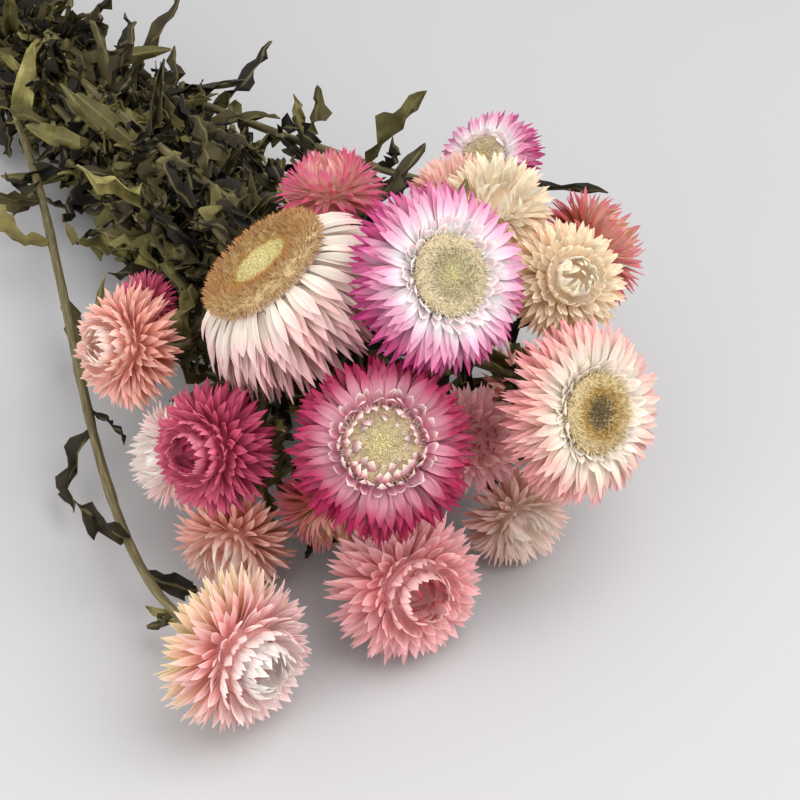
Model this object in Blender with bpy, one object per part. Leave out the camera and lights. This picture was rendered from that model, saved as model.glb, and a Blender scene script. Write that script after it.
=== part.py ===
"""A tied bunch of dried strawflowers, lying on a table as it was put down.

Each of the 21 flowers has a head of papery bracts, a button of florets where the head is open,
and a leafy stem. The stems fan out from one twine tie near their cut ends. Sizes are in
millimetres and become metres where a mesh is made. X runs along the bunch towards the heads,
Z is up, and the bunch rests on Z = 0.
"""

import math
import random

import bmesh
import bpy
import numpy as np
from mathutils import Matrix, Vector
from mathutils.bvhtree import BVHTree

MM = 0.001
GAP = 0.3  # between neighbouring solids that touch on the real bunch
SAME_PLACE = 1e-7

# Heads are placed as an onlooker sees them: across to the right, up, and towards the eye.
ONLOOKER_AZIMUTH = math.radians(59.2)
ONLOOKER_ELEVATION = math.radians(42)
CLUSTER_CENTRE = Vector((151.0, -7.0, 50.0))

# The bundle of stems, with its tie and its cut ends.
TIE_CENTRE = CLUSTER_CENTRE + Vector((-288.0, 0.0, -36.0))
BUNDLE_RISE = math.radians(6)
STEM_RADIUS = 1.3
NECK_RADIUS = 1.05
STEM_SIDES = 5
STEM_PITCH = 2 * STEM_RADIUS + GAP
STEMS_PER_RING = (1, 7, 13)
STRAIGHT_IN_TIE = 7.0
BELOW_TIE = (44.0, 60.0)
ENDS_SPLAY = 0.15
END_ON_TABLE = 0.85 * STEM_RADIUS  # a cut end that lies down is pressed a little flat

# From the tie each stem follows one bend: it leaves along the bundle and arrives along its neck.
FAN_POINTS = 9
FAN_CROWDING = 1.5
LEAVING_PULL = 0.35
ARRIVING_PULL = 0.18
NECK_LENGTH = 9.0
NECK_POINTS = 4
SLOT_PHASE = 0.5  # how far the rings of slots are turned, in steps from one to the next
SLOT_REACH = 20.0  # how far ahead of the tie a stem's straight way to its head picks its slot

# Stems are settled by small pushes on samples along them, shared out to the points of their bend.
SETTLING_ROUNDS = 80
SAMPLES_PER_POINT = 7
IN_TIE_APART = STEM_PITCH - 0.2
STEMS_APART = 5.2
HEAD_TO_STEM = 5.0
OFF_TABLE = STEM_RADIUS + 0.6
STEM_PUSH = 0.8
HEAD_PUSH = 0.35
LONGEST_PUSH = 1.5
EVENING = 0.15
PINNED_AT_TIE = 3
PINNED_AT_HEAD = 2
NEAR_SEAT = 3  # the last points of a stem, which may come close to its own head
TINY = 1e-6

TWINE_RADIUS = 1.0
TWINE_TURNS = 4
TWINE_RIDGE = ((-0.6, 1.75), (0.6, 1.75), (1.0, 1.0))  # along and out from a turn's middle, in twine radii
TIE_SEGMENTS = 16

# Leaves: dried, curled blades that spring from all sides of each stem.
LEAVES_PER_STEM = 10
LEAF_LENGTHS = (21.0, 36.0)
LEAF_WIDTHS = (6.0, 9.5)
LEAF_THICKNESS = 0.9
LEAF_KEEL = 0.08
LEAF_CURL = 2.6
LEAF_TWIST = 1.2
LEAF_WAVES = (0.02, 0.06)
LEAF_STATIONS = (0.0, 0.30, 0.58, 0.82, 1.0)
LEAF_OUTLINE = (0.0, 0.85, 1.0, 0.62, 0.0)
LEAF_CORNERS = 3
LEAF_CLEARANCE = 0.5
LEAF_TRIES = 40
LEAF_STRAY = (0.1, 0.9)  # where a leaf springs within its own stretch of stem
LEAF_FORWARD = (0.3, 1.0)
LEAF_OUTWARD = (0.5, 1.0)
LEAF_SHRINK = 0.5
LEAVES_FROM_TIE = 12.0
LEAVES_FROM_HEAD = 14.0
GOLDEN_TURN = 2.4

# Each kind of head, as shares of its radius. A row of bracts is (valley below it, notch between
# two bracts, tip), each a pair of radius and height. The rim closes the last row, and the crown
# is the middle of the top. "spread" is how far the bracts' middle lies above the seat.
KINDS = {
    "open": {
        "petals": 18,
        "spread": 0.20,
        "rows": (
            ((0.10, 0.00), (0.74, -0.03), (0.92, -0.10)),
            ((0.28, 0.13), (0.84, 0.12), (1.00, 0.08)),
            ((0.35, 0.21), (0.82, 0.25), (0.97, 0.25)),
            ((0.40, 0.29), (0.72, 0.36), (0.86, 0.40)),
        ),
        "rim": (0.43, 0.35),
        "crown": 0.35,
        "button": "dome",
    },
    "drooping": {
        "petals": 20,
        "spread": 0.20,
        "rows": (
            ((0.08, 0.00), (0.60, -0.24), (0.72, -0.52)),
            ((0.36, 0.12), (0.78, -0.12), (0.92, -0.36)),
            ((0.46, 0.22), (0.88, 0.08), (1.00, -0.12)),
            ((0.54, 0.31), (0.82, 0.24), (0.94, 0.12)),
        ),
        "rim": (0.60, 0.40),
        "crown": 0.40,
        "button": "brush",
    },
    "bud": {
        "petals": 13,
        "spread": 0.25,
        "rows": (
            ((0.11, 0.00), (0.66, -0.04), (0.84, -0.12)),
            ((0.28, 0.14), (0.82, 0.16), (1.00, 0.12)),
            ((0.36, 0.27), (0.76, 0.40), (0.92, 0.46)),
            ((0.42, 0.40), (0.62, 0.66), (0.68, 0.80)),
            ((0.42, 0.58), (0.40, 0.84), (0.26, 0.94)),
        ),
        "rim": (0.20, 0.66),
        "crown": 0.58,
        "button": None,
    },
    "star": {
        "petals": 12,
        "spread": 0.25,
        "rows": (
            ((0.12, 0.00), (0.60, 0.00), (0.86, -0.08)),
            ((0.28, 0.16), (0.76, 0.20), (1.00, 0.20)),
            ((0.36, 0.30), (0.70, 0.50), (0.88, 0.62)),
            ((0.36, 0.44), (0.44, 0.76), (0.48, 0.96)),
        ),
        "rim": (0.22, 0.50),
        "crown": 0.62,
        "button": None,
    },
}

# How far a bract's tip and a notch stray: share of radius, share of a step round, share of height.
TIP_JITTER = (0.06, 0.12, 0.03)
NOTCH_JITTER = (0.04, 0.05, 0.0)

# A button's turned outline, as shares of the rim it stands on, with its sides and its ripple.
BUTTONS = {
    "dome": {
        "outline": ((0.92, 0.0), (0.98, 0.20), (0.82, 0.40), (0.52, 0.42), (0.30, 0.34)),
        "segments": 14,
        "ripple": 0.05,
    },
    "brush": {
        "outline": ((0.97, 0.0), (1.04, 0.12), (0.99, 0.24), (0.80, 0.30), (0.56, 0.22), (0.50, 0.20)),
        "segments": 22,
        "ripple": 0.03,
    },
}

RIPPLE_LIFT = 0.4

# sRGB colours, as (red, green, blue) from 0 to 255.
BRACT_COLOURS = {
    "blush": (232, 200, 190),
    "white_magenta": (240, 190, 220),
    "magenta": (205, 60, 130),
    "cream_pink": (240, 215, 190),
    "salmon": (235, 145, 140),
    "shell": (245, 200, 190),
    "rose": (180, 60, 105),
    "peach": (235, 190, 160),
    "cream": (240, 218, 180),
    "russet": (175, 80, 75),
}
BUTTON_COLOURS = {"dome": (205, 205, 150), "brush": (170, 130, 60)}
LEAF_COLOUR = (92, 92, 60)
TWINE_COLOUR = (170, 135, 90)

# One line a head: kind, colour, radius, place as seen (across, up, towards), and the way it faces.
HEADS = (
    ("drooping", "blush", 27.5, (-29.0, 25.5, 4.0), (-0.58, 0.66, 0.47)),
    ("open", "white_magenta", 24.0, (8.0, 26.0, 20.0), (0.50, 0.08, 0.86)),
    ("open", "magenta", 22.8, (-4.0, -6.5, 22.0), (0.05, 0.20, 0.98)),
    ("open", "cream_pink", 23.5, (44.0, 4.5, 6.0), (0.60, -0.05, 0.80)),
    ("bud", "salmon", 21.0, (-1.5, -42.5, 2.5), (0.45, -0.25, 0.86)),
    ("bud", "shell", 21.5, (-40.0, -61.0, 22.0), (0.72, -0.35, 0.60)),
    ("bud", "rose", 17.5, (-44.5, -9.5, 6.0), (-0.60, -0.15, 0.78)),
    ("bud", "peach", 17.3, (-71.0, 14.0, -30.0), (-0.75, 0.00, 0.66)),
    ("star", "rose", 15.0, (-18.0, 53.5, -25.0), (-0.15, 0.85, 0.50)),
    ("open", "white_magenta", 16.0, (23.0, 63.0, -50.0), (-0.50, 0.35, 0.79)),
    ("star", "peach", 13.5, (16.0, 55.0, -38.0), (0.00, 0.55, 0.83)),
    ("star", "cream", 16.0, (29.0, 43.0, -15.0), (0.20, 0.40, 0.88)),
    ("bud", "cream", 16.5, (39.5, 25.5, -4.0), (0.25, 0.10, 0.96)),
    ("star", "russet", 17.0, (50.0, 40.0, -35.0), (0.75, 0.50, 0.30)),
    ("star", "peach", 16.5, (-38.0, -31.0, -10.0), (-0.20, -0.70, 0.68)),
    ("star", "shell", 15.0, (-57.0, -15.0, -20.0), (-0.85, -0.10, 0.50)),
    ("star", "russet", 16.0, (-18.0, -30.0, -5.0), (0.10, -0.85, 0.40)),
    ("star", "cream", 15.5, (29.5, -25.0, -18.5), (0.45, -0.60, 0.66)),
    ("star", "salmon", 15.0, (19.0, -11.0, -14.0), (0.20, 0.05, 0.98)),
    ("star", "rose", 11.0, (-70.0, 25.0, -58.0), (-0.60, 0.20, 0.77)),
    ("star", "peach", 17.0, (34.0, 9.0, -47.0), (0.70, 0.15, 0.50)),
)

# The heads that lie on the table, by their number in that list, and how flat they are pressed.
LYING_HEADS = (5, 6, 15, 18, 21)
PRESSED = 2.4
HEAD_CLEARANCE = 1.015
HEAD_NUDGE = 0.8
HEAD_ROUNDS = 80
NEAR_HEADS = 1.2
HEART_HEIGHT = 0.3  # the middle of a head's bulk, as a share of its radius above the seat
CORE_RADIUS = 0.7

# Points on a head's bracts that keep the stems off: how far out along them, and how many round.
SKIRT_SHARES = (0.45, 0.75, 1.0)
FEWEST_IN_SKIRT = 6
MORE_IN_SKIRT = 10


def linear(srgb):
    """An sRGB colour as the linear one that a shader takes."""
    shares = [c / 255 for c in srgb]
    return [s / 12.92 if s <= 0.04045 else ((s + 0.055) / 1.055) ** 2.4 for s in shares]


def material(name, srgb, roughness):
    found = bpy.data.materials.get(name)
    if found:
        return found
    made = bpy.data.materials.new(name)
    made.use_nodes = True
    shader = made.node_tree.nodes["Principled BSDF"]
    shader.inputs["Base Color"].default_value = (*linear(srgb), 1)
    shader.inputs["Roughness"].default_value = roughness
    return made


def add_object(name, points, faces, finish):
    """A closed mesh object from points in millimetres, with its faces turned outwards."""
    mesh = bpy.data.meshes.new(name)
    mesh.from_pydata([Vector(p) * MM for p in points], [], faces)
    bm = bmesh.new()
    bm.from_mesh(mesh)
    bmesh.ops.recalc_face_normals(bm, faces=bm.faces)
    bm.to_mesh(mesh)
    bm.free()
    mesh.materials.append(finish)
    obj = bpy.data.objects.new(name, mesh)
    bpy.context.scene.collection.objects.link(obj)
    return obj


def onlooker_axes():
    """Unit vectors across, up and towards the onlooker, in the bunch's own frame."""
    sin_a, cos_a = math.sin(ONLOOKER_AZIMUTH), math.cos(ONLOOKER_AZIMUTH)
    sin_e, cos_e = math.sin(ONLOOKER_ELEVATION), math.cos(ONLOOKER_ELEVATION)
    across = Vector((cos_a, sin_a, 0))
    up = Vector((-sin_a * sin_e, cos_a * sin_e, cos_e))
    towards = Vector((sin_a * cos_e, -cos_a * cos_e, sin_e))
    return across, up, towards


def as_seen(numbers):
    return sum((n * axis for n, axis in zip(numbers, onlooker_axes())), Vector())


class Head:
    """One flower head: where its seat is, which way it faces, and how it is turned on its stem."""

    def __init__(self, number, kind, colour, radius, place, facing):
        self.name = f"{number:02d}"
        self.kind = KINDS[kind]
        self.colour = colour
        self.radius = radius
        self.facing = as_seen(facing).normalized()
        self.seat = CLUSTER_CENTRE + as_seen(place) - self.facing * self.kind["spread"] * radius
        self.turn = random.Random(number).uniform(0, math.tau)
        self.lies = number in LYING_HEADS

    def rotation(self):
        """Turns the head's own frame, whose Z is the way it faces, into the bunch's."""
        return self.facing.to_track_quat("Z", "Y").to_matrix() @ Matrix.Rotation(self.turn, 3, "Z")

    def to_world(self, point):
        return self.seat + self.rotation() @ Vector(point)

    def heart(self):
        return self.seat + self.facing * HEART_HEIGHT * self.radius

    def placement(self):
        """The head's frame as an object's matrix, in metres."""
        return Matrix.Translation(self.seat * MM) @ self.rotation().to_4x4()

    def scaled(self, pair):
        return pair[0] * self.radius, pair[1] * self.radius


def ring(count, radius, height, phase=0.0):
    """Points round the head's axis; phase is in steps from one point to the next."""
    angles = [(k + phase) * math.tau / count for k in range(count)]
    return [(radius * math.cos(a), radius * math.sin(a), height) for a in angles]


def strayed(rng, head, points, jitter):
    """A ring's points, each moved a little in radius, angle and height, so that no two are alike."""
    in_radius, in_step, in_height = jitter
    step = math.tau / len(points)
    moved = []
    for x, y, z in points:
        grow = 1 + rng.uniform(-in_radius, in_radius)
        turn = rng.uniform(-in_step, in_step) * step
        lift = rng.uniform(-in_height, in_height) * head.radius
        across = grow * (x * math.cos(turn) - y * math.sin(turn))
        along = grow * (x * math.sin(turn) + y * math.cos(turn))
        moved.append((across, along, z + lift))
    return moved


def bract_mesh(head):
    """Rows of pointed bracts, one above the other, as one closed skin in the head's own frame.

    The skin runs from the seat on the stem out to a row's tips and notches, back to the valley
    above it, and on to the next row, whose tips lie over the notches of the row below.
    """
    rng = random.Random(f"bracts {head.name}")
    rows, count = head.kind["rows"], head.kind["petals"]
    above = [row[0] for row in rows[1:]] + [head.kind["rim"]]
    points, faces = [], []

    def add(new):
        points.extend(new)
        return list(range(len(points) - len(new), len(points)))

    valley = add(ring(count, *head.scaled(rows[0][0])))
    faces.append(valley[::-1])
    for number, (_, notch, tip) in enumerate(rows):
        odd = number % 2
        tips = ring(count, *head.scaled(tip), phase=0.0 if odd else 0.5)
        notches = ring(count, *head.scaled(notch), phase=0.5 if odd else 0.0)
        tips = add(strayed(rng, head, tips, TIP_JITTER))
        notches = add(strayed(rng, head, notches, NOTCH_JITTER))
        over_valley, between = (tips, notches) if odd else (notches, tips)
        upper = add(ring(count, *head.scaled(above[number])))
        for k in range(count):
            after = (k + 1) % count
            first, middle, last = over_valley[k], between[k], over_valley[after]
            for inner in (valley, upper):
                a, b = inner[k], inner[after]
                three = [(a, middle, first), (a, b, middle), (b, last, middle)]
                faces.extend(three if inner is valley else [face[::-1] for face in three])
        valley = upper
    if head.kind["button"]:
        faces.append(valley)
    else:
        crown = add([(0, 0, head.kind["crown"] * head.radius)])[0]
        faces.extend((valley[k], valley[(k + 1) % count], crown) for k in range(count))
    return points, faces


def numbered(rings, count):
    return [list(range(k * count, (k + 1) * count)) for k in range(rings)]


def skin(rings, closed=False):
    """Faces between rings of point numbers, each as long as the next, capped or joined round."""
    faces = []
    pairs = list(zip(rings, rings[1:]))
    if closed:
        pairs.append((rings[-1], rings[0]))
    for near, far in pairs:
        for k in range(len(near)):
            after = (k + 1) % len(near)
            faces.append((near[k], near[after], far[after]))
            faces.append((near[k], far[after], far[k]))
    if not closed:
        faces.append(tuple(rings[0][::-1]))
        faces.append(tuple(rings[-1]))
    return faces


def button_mesh(head):
    """The florets in the middle of an open head: a low rippled dome, or a brush round a flat eye."""
    shape = BUTTONS[head.kind["button"]]
    rim, height = head.scaled(head.kind["rim"])
    segments, last = shape["segments"], len(shape["outline"]) - 1
    points = []
    for number, (across, up) in enumerate(shape["outline"]):
        ripple = shape["ripple"] if 0 < number < last else 0.0
        for k, (x, y, z) in enumerate(ring(segments, across * rim, height + GAP + up * rim)):
            share = 1 + ripple * (1 if (k + number) % 2 else -1)
            lift = RIPPLE_LIFT * ripple * across * rim * (1 if k % 2 else -1)
            points.append((x * share, y * share, z + lift))
    return points, skin(numbered(last + 1, segments))


def flatten_on_table(obj):
    """Cuts off what would reach through the table, as petals pressed flat by the bunch's weight."""
    to_local = obj.matrix_world.inverted()
    bm = bmesh.new()
    bm.from_mesh(obj.data)
    if min((obj.matrix_world @ v.co).z for v in bm.verts) < 0:
        bmesh.ops.bisect_plane(
            bm,
            geom=bm.verts[:] + bm.edges[:] + bm.faces[:],
            dist=SAME_PLACE,
            plane_co=to_local @ Vector(),
            plane_no=to_local.to_3x3() @ Vector((0, 0, -1)),
            clear_outer=True,
        )
        bmesh.ops.holes_fill(bm, edges=[e for e in bm.edges if e.is_boundary], sides=0)
        bmesh.ops.triangulate(bm, faces=bm.faces)
        bmesh.ops.recalc_face_normals(bm, faces=bm.faces)
    bm.to_mesh(obj.data)
    bm.free()


def tree_of(points, faces):
    return BVHTree.FromPolygons([Vector(p) for p in points], [tuple(f) for f in faces])


def settle_heads(heads):
    """Moves heads that touch apart, a little at a time, and puts those that lie down on the table."""
    for _ in range(HEAD_ROUNDS):
        trees = []
        for head in heads:
            points, faces = bract_mesh(head)
            points = [head.to_world(Vector(p) * HEAD_CLEARANCE) for p in points]
            if head.lies:
                drop = Vector((0, 0, min(p.z for p in points) + PRESSED))
                head.seat -= drop
                points = [p - drop for p in points]
            trees.append(tree_of(points, faces))
        moved = False
        for i, head in enumerate(heads):
            for j, other in enumerate(heads[:i]):
                reach = head.radius + other.radius
                away = head.heart() - other.heart()
                if away.length < NEAR_HEADS * reach and trees[i].overlap(trees[j]):
                    nudge = away.normalized() * HEAD_NUDGE
                    head.seat += nudge * other.radius / reach
                    other.seat -= nudge * head.radius / reach
                    moved = True
        if not moved:
            break


def head_cloud(head):
    """Points in and over a head, each with how far off the middle of a stem has to stay."""
    core = [(*p, CORE_RADIUS * head.radius) for p in (head.seat, head.heart())]
    skirt = []
    for valley, _, tip in head.kind["rows"]:
        for share in SKIRT_SHARES:
            radius = valley[0] + (tip[0] - valley[0]) * share
            height = valley[1] + (tip[1] - valley[1]) * share
            skirt += ring(FEWEST_IN_SKIRT + round(MORE_IN_SKIRT * radius), *head.scaled((radius, height)))
    return core + [(*head.to_world(p), STEM_RADIUS + HEAD_TO_STEM) for p in skirt]


def stem_slots():
    """Where the stems pass through the tie, as offsets from its middle: one, then two rings."""
    slots = [(0.0, 0.0)]
    first = STEM_PITCH / (2 * math.sin(math.pi / STEMS_PER_RING[1]))
    for number, count in enumerate(STEMS_PER_RING[1:]):
        slots += [(x, y) for x, y, _ in ring(count, first + number * STEM_PITCH, 0, SLOT_PHASE)]
    return slots


def bundle_axes():
    along = Vector((math.cos(BUNDLE_RISE), 0, math.sin(BUNDLE_RISE)))
    side = Vector((0, 1, 0))
    return along, side, along.cross(side)


def assign_slots(heads):
    """Gives each head the slot that keeps its stem's way straight, by swaps until none helps."""
    _, side, lift = bundle_axes()
    slots = stem_slots()
    ways = [(head.seat - TIE_CENTRE).normalized() * SLOT_REACH for head in heads]
    chosen = list(range(len(heads)))

    def cost(head, slot):
        return math.dist((ways[head].dot(side), ways[head].dot(lift)), slots[slot]) ** 2

    better = True
    while better:
        better = False
        for i in range(len(heads)):
            for j in range(i):
                kept = cost(i, chosen[i]) + cost(j, chosen[j])
                swapped = cost(i, chosen[j]) + cost(j, chosen[i])
                if swapped < kept - TINY:
                    chosen[i], chosen[j] = chosen[j], chosen[i]
                    better = True
    return [slots[s] for s in chosen]


def bezier(a, b, c, d, t):
    s = 1 - t
    return a * s**3 + b * 3 * s * s * t + c * 3 * s * t * t + d * t**3


def first_paths(heads):
    """Each stem's points from its cut end, straight through the tie, and in one bend to its head."""
    along, side, lift = bundle_axes()
    shares = [1 - (1 - k / FAN_POINTS) ** FAN_CROWDING for k in range(1, FAN_POINTS)]
    paths = []
    for number, (head, slot) in enumerate(zip(heads, assign_slots(heads))):
        offset = side * slot[0] + lift * slot[1]
        middle = TIE_CENTRE + offset
        end = middle - along * random.Random(f"stem {number}").uniform(*BELOW_TIE) + offset * ENDS_SPLAY
        end.z = max(end.z, END_ON_TABLE)
        start = middle + along * STRAIGHT_IN_TIE
        seat = head.seat - head.facing * GAP
        neck = seat - head.facing * NECK_LENGTH
        reach = (neck - start).length
        leaving = start + along * reach * LEAVING_PULL
        arriving = neck - head.facing * reach * ARRIVING_PULL
        fan = [bezier(start, leaving, arriving, neck, share) for share in shares]
        paths.append([end, middle - along * STRAIGHT_IN_TIE, start, *fan, neck, seat])
    return np.array(paths)


def sampling(count):
    """Weights that turn a path's points into evenly shared samples along it."""
    samples = (count - 1) * SAMPLES_PER_POINT + 1
    weights = np.zeros((samples, count))
    for sample in range(samples):
        k = min(sample // SAMPLES_PER_POINT, count - 2)
        share = sample / SAMPLES_PER_POINT - k
        weights[sample, k] += 1 - share
        weights[sample, k + 1] += share
    return weights


def pushed_off(points, others, reach):
    """How far each point has to move to be its reach away from the others, summed over them."""
    squared = (points**2).sum(1)[:, None] + (others**2).sum(1)[None] - 2 * points @ others.T
    near, other = np.nonzero(squared < reach**2)
    away = points[near] - others[other]
    far = np.linalg.norm(away, axis=1) + TINY
    push = np.zeros_like(points)
    np.add.at(push, near, away * ((reach[near, other] - far) / far)[:, None])
    return push


def settle_stems(first, clouds):
    """Pushes the fanned stretches apart from each other, from the heads and up off the table."""
    stems, count, _ = first.shape
    weights = sampling(count)
    samples = len(weights)
    shared = 2 * weights.T / weights.sum(axis=0)[:, None]
    free = np.zeros(count)
    free[PINNED_AT_TIE : count - PINNED_AT_HEAD] = 1.0
    stem = np.repeat(np.arange(stems), samples)
    place = np.tile(np.arange(samples), stems)
    past_tie = np.clip(place / SAMPLES_PER_POINT - 2, 0, 1)
    apart = IN_TIE_APART + past_tie * (STEMS_APART - IN_TIE_APART)
    apart = np.where(stem[:, None] != stem[None], np.minimum(apart[:, None], apart[None]), 0)
    cloud = np.concatenate([np.array(points) for points in clouds])
    head = np.repeat(np.arange(len(clouds)), [len(points) for points in clouds])
    in_core = cloud[:, 3] > STEM_RADIUS + HEAD_TO_STEM + GAP
    at_seat = (place >= samples - NEAR_SEAT * SAMPLES_PER_POINT)[:, None] | in_core
    clear = np.where(at_seat & (stem[:, None] == head[None]), 0, cloud[:, 3])
    paths = first
    for _ in range(SETTLING_ROUNDS):
        line = (weights @ paths).reshape(-1, 3)
        push = STEM_PUSH * pushed_off(line, line, apart)
        push += HEAD_PUSH * pushed_off(line, cloud[:, :3], clear)
        push[:, 2] += np.maximum(OFF_TABLE - line[:, 2], 0)
        length = np.linalg.norm(push, axis=1, keepdims=True)
        push *= np.minimum(1, LONGEST_PUSH / np.maximum(length, TINY))
        moved = np.einsum("cs,isk->ick", shared, push.reshape(stems, samples, 3))
        paths = paths + moved * free[None, :, None]
        shift = paths - first
        uneven = (shift[:, :-2] + shift[:, 2:]) / 2 - shift[:, 1:-1]
        paths[:, 1:-1] += EVENING * uneven * free[None, 1:-1, None]
    return paths


def stem_mesh(path):
    """A closed tube along a path, narrower at the neck, turned as little as the path allows."""
    path = [Vector(p) for p in path]
    points = []
    across = None
    for k, centre in enumerate(path):
        heading = (path[min(k + 1, len(path) - 1)] - path[max(k - 1, 0)]).normalized()
        across = across or heading.orthogonal()
        across = (across - heading * across.dot(heading)).normalized()
        other = heading.cross(across)
        radius = STEM_RADIUS if k < len(path) - NECK_POINTS else NECK_RADIUS
        points += [centre + across * x + other * y for x, y, _ in ring(STEM_SIDES, radius, 0)]
    return points, skin(numbered(len(path), STEM_SIDES))


def leaf_mesh(leaf, fatten=0.0):
    """One dried leaf: a thin lance-shaped blade with a keel, whose length curls and edges wave."""
    point, heading, normal = leaf["root"], leaf["heading"].normalized(), leaf["normal"].normalized()
    points, faces, stations = [point], [], [(0,)]
    for k in range(1, len(LEAF_STATIONS)):
        stretch = LEAF_STATIONS[k] - LEAF_STATIONS[k - 1]
        bend = Matrix.Rotation(leaf["curl"] * stretch, 3, heading.cross(normal))
        roll = Matrix.Rotation(leaf["twist"] * stretch, 3, heading)
        heading = (bend @ heading).normalized()
        normal = (roll @ (bend @ normal)).normalized()
        point = point + heading * leaf["length"] * stretch
        if not LEAF_OUTLINE[k]:
            stations.append((len(points),))
            points.append(point)
            continue
        half = heading.cross(normal).normalized() * (LEAF_OUTLINE[k] * leaf["width"] / 2 + fatten)
        depth = (LEAF_THICKNESS + LEAF_KEEL * leaf["width"]) / 2 + fatten
        wave = leaf["wave"] * leaf["width"] * (1 if k % 2 else -1)
        stations.append(tuple(range(len(points), len(points) + LEAF_CORNERS)))
        points.append(point - half + normal * (depth + wave))
        points.append(point + half + normal * (depth - wave))
        points.append(point - normal * depth)
    for near, far in zip(stations, stations[1:]):
        for k in range(LEAF_CORNERS):
            after = (k + 1) % LEAF_CORNERS
            if len(near) == 1:
                faces.append((near[0], far[after], far[k]))
            elif len(far) == 1:
                faces.append((near[k], near[after], far[0]))
            else:
                faces.append((near[k], near[after], far[after]))
                faces.append((near[k], far[after], far[k]))
    return points, faces


def crosses_itself(points, faces):
    tree = tree_of(points, faces)
    return any(not set(faces[i]) & set(faces[j]) for i, j in tree.overlap(tree))


def curls_back(blade, stem_tree):
    """Whether a leaf meets its own stem past the stretch that springs from it."""
    return any(face >= LEAF_CORNERS for face, _ in tree_of(*blade).overlap(stem_tree))


def spot_on(path, share):
    """A point on the leafy stretch of a stem, as a share of its length, and the stem's way there."""
    path = [Vector(p) for p in path[2:]]
    lengths = [(b - a).length for a, b in zip(path, path[1:])]
    left = LEAVES_FROM_TIE + (sum(lengths) - LEAVES_FROM_TIE - LEAVES_FROM_HEAD) * share
    for a, b, length in zip(path, path[1:], lengths):
        if left <= length:
            break
        left -= length
    forward = (b - a).normalized()
    return a + forward * left, forward


def drawn_leaf(rng, path, number, turn, attempt):
    """A leaf to try: each new attempt is a little smaller and springs from another side."""
    root, forward = spot_on(path, (turn + rng.uniform(*LEAF_STRAY)) / LEAVES_PER_STEM)
    angle = number + (turn + attempt) * GOLDEN_TURN
    out = Matrix.Rotation(angle, 3, forward) @ forward.orthogonal().normalized()
    heading = forward * rng.uniform(*LEAF_FORWARD) + out * rng.uniform(*LEAF_OUTWARD)
    shrink = 1 - LEAF_SHRINK * attempt / LEAF_TRIES
    return {
        "root": root,
        "heading": heading,
        "normal": forward - heading * forward.dot(heading) / heading.length_squared,
        "length": rng.uniform(*LEAF_LENGTHS) * shrink,
        "width": rng.uniform(*LEAF_WIDTHS) * shrink,
        "curl": rng.uniform(-LEAF_CURL, LEAF_CURL),
        "twist": rng.uniform(-LEAF_TWIST, LEAF_TWIST),
        "wave": rng.uniform(*LEAF_WAVES),
    }


def place_leaves(paths, solids):
    """The leaves of each stem, bent clear of every other stem, head and leaf, and of the table."""
    trees = [tree_of(*solid) for solid in solids]
    own_trees = trees[: len(paths)]
    placed = [[] for _ in paths]
    for turn in range(LEAVES_PER_STEM):
        for number, path in enumerate(paths):
            rng = random.Random(f"leaf {number} {turn}")
            others = [tree for tree in trees if tree is not own_trees[number]]
            for attempt in range(LEAF_TRIES):
                leaf = drawn_leaf(rng, path, number, turn, attempt)
                blade = leaf_mesh(leaf)
                points, faces = leaf_mesh(leaf, fatten=LEAF_CLEARANCE)
                grown = tree_of(points, faces)
                if min(p.z for p in points) < GAP or crosses_itself(*blade):
                    continue
                if curls_back(blade, own_trees[number]):
                    continue
                if any(grown.overlap(other) for other in others):
                    continue
                placed[number].append(blade)
                trees.append(grown)
                break
    return placed


def fuse(stem, blades):
    """Joins the leaves to their stem in one skin."""
    group = bpy.data.collections.new(f"leaves of {stem.name}")
    bpy.context.scene.collection.children.link(group)
    for number, (points, faces) in enumerate(blades):
        blade = add_object(f"leaf {number}", points, faces, stem.data.materials[0])
        bpy.context.scene.collection.objects.unlink(blade)
        group.objects.link(blade)
    join = stem.modifiers.new("join leaves", "BOOLEAN")
    join.operation = "UNION"
    join.operand_type = "COLLECTION"
    join.collection = group
    join.solver = "MANIFOLD"
    bpy.context.view_layer.update()
    graph = bpy.context.evaluated_depsgraph_get()
    joined = bpy.data.meshes.new_from_object(stem.evaluated_get(graph))
    stem.modifiers.clear()
    stem.data = joined
    for blade in list(group.objects):
        bpy.data.objects.remove(blade)
    bpy.data.collections.remove(group)


def tie_mesh():
    """Four turns of twine as one ring round the bundle, with a rounded ridge for each turn."""
    hold = max(math.hypot(*slot) for slot in stem_slots()) + STEM_RADIUS + GAP
    half = TWINE_TURNS * TWINE_RADIUS
    outline = [(hold, -half)]
    for turn in range(TWINE_TURNS):
        middle = (2 * turn + 1) * TWINE_RADIUS - half
        for share, height in TWINE_RIDGE:
            outline.append((hold + height * TWINE_RADIUS, middle + share * TWINE_RADIUS))
    outline[-1] = (hold, half)
    along, side, lift = bundle_axes()
    points = []
    for radius, reach in outline:
        circle = ring(TIE_SEGMENTS, radius, 0)
        points += [TIE_CENTRE + along * reach + side * x + lift * y for x, y, _ in circle]
    return points, skin(numbered(len(outline), TIE_SEGMENTS), closed=True)


def make_head(head):
    """The head's bracts and, on an open one, its button; returns their solids where they lie."""
    points, faces = bract_mesh(head)
    finish = material(f"bract_{head.colour}", BRACT_COLOURS[head.colour], 0.55)
    bracts = add_object(f"bracts_{head.name}", points, faces, finish)
    bracts.matrix_world = head.placement()
    flatten_on_table(bracts)
    solids = [([head.to_world(p) for p in points], faces)]
    if head.kind["button"]:
        points, faces = button_mesh(head)
        kind = head.kind["button"]
        finish = material(f"button_{kind}", BUTTON_COLOURS[kind], 0.8)
        button = add_object(f"button_{head.name}", points, faces, finish)
        button.parent = bracts
        solids.append(([head.to_world(p) for p in points], faces))
    return solids


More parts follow.
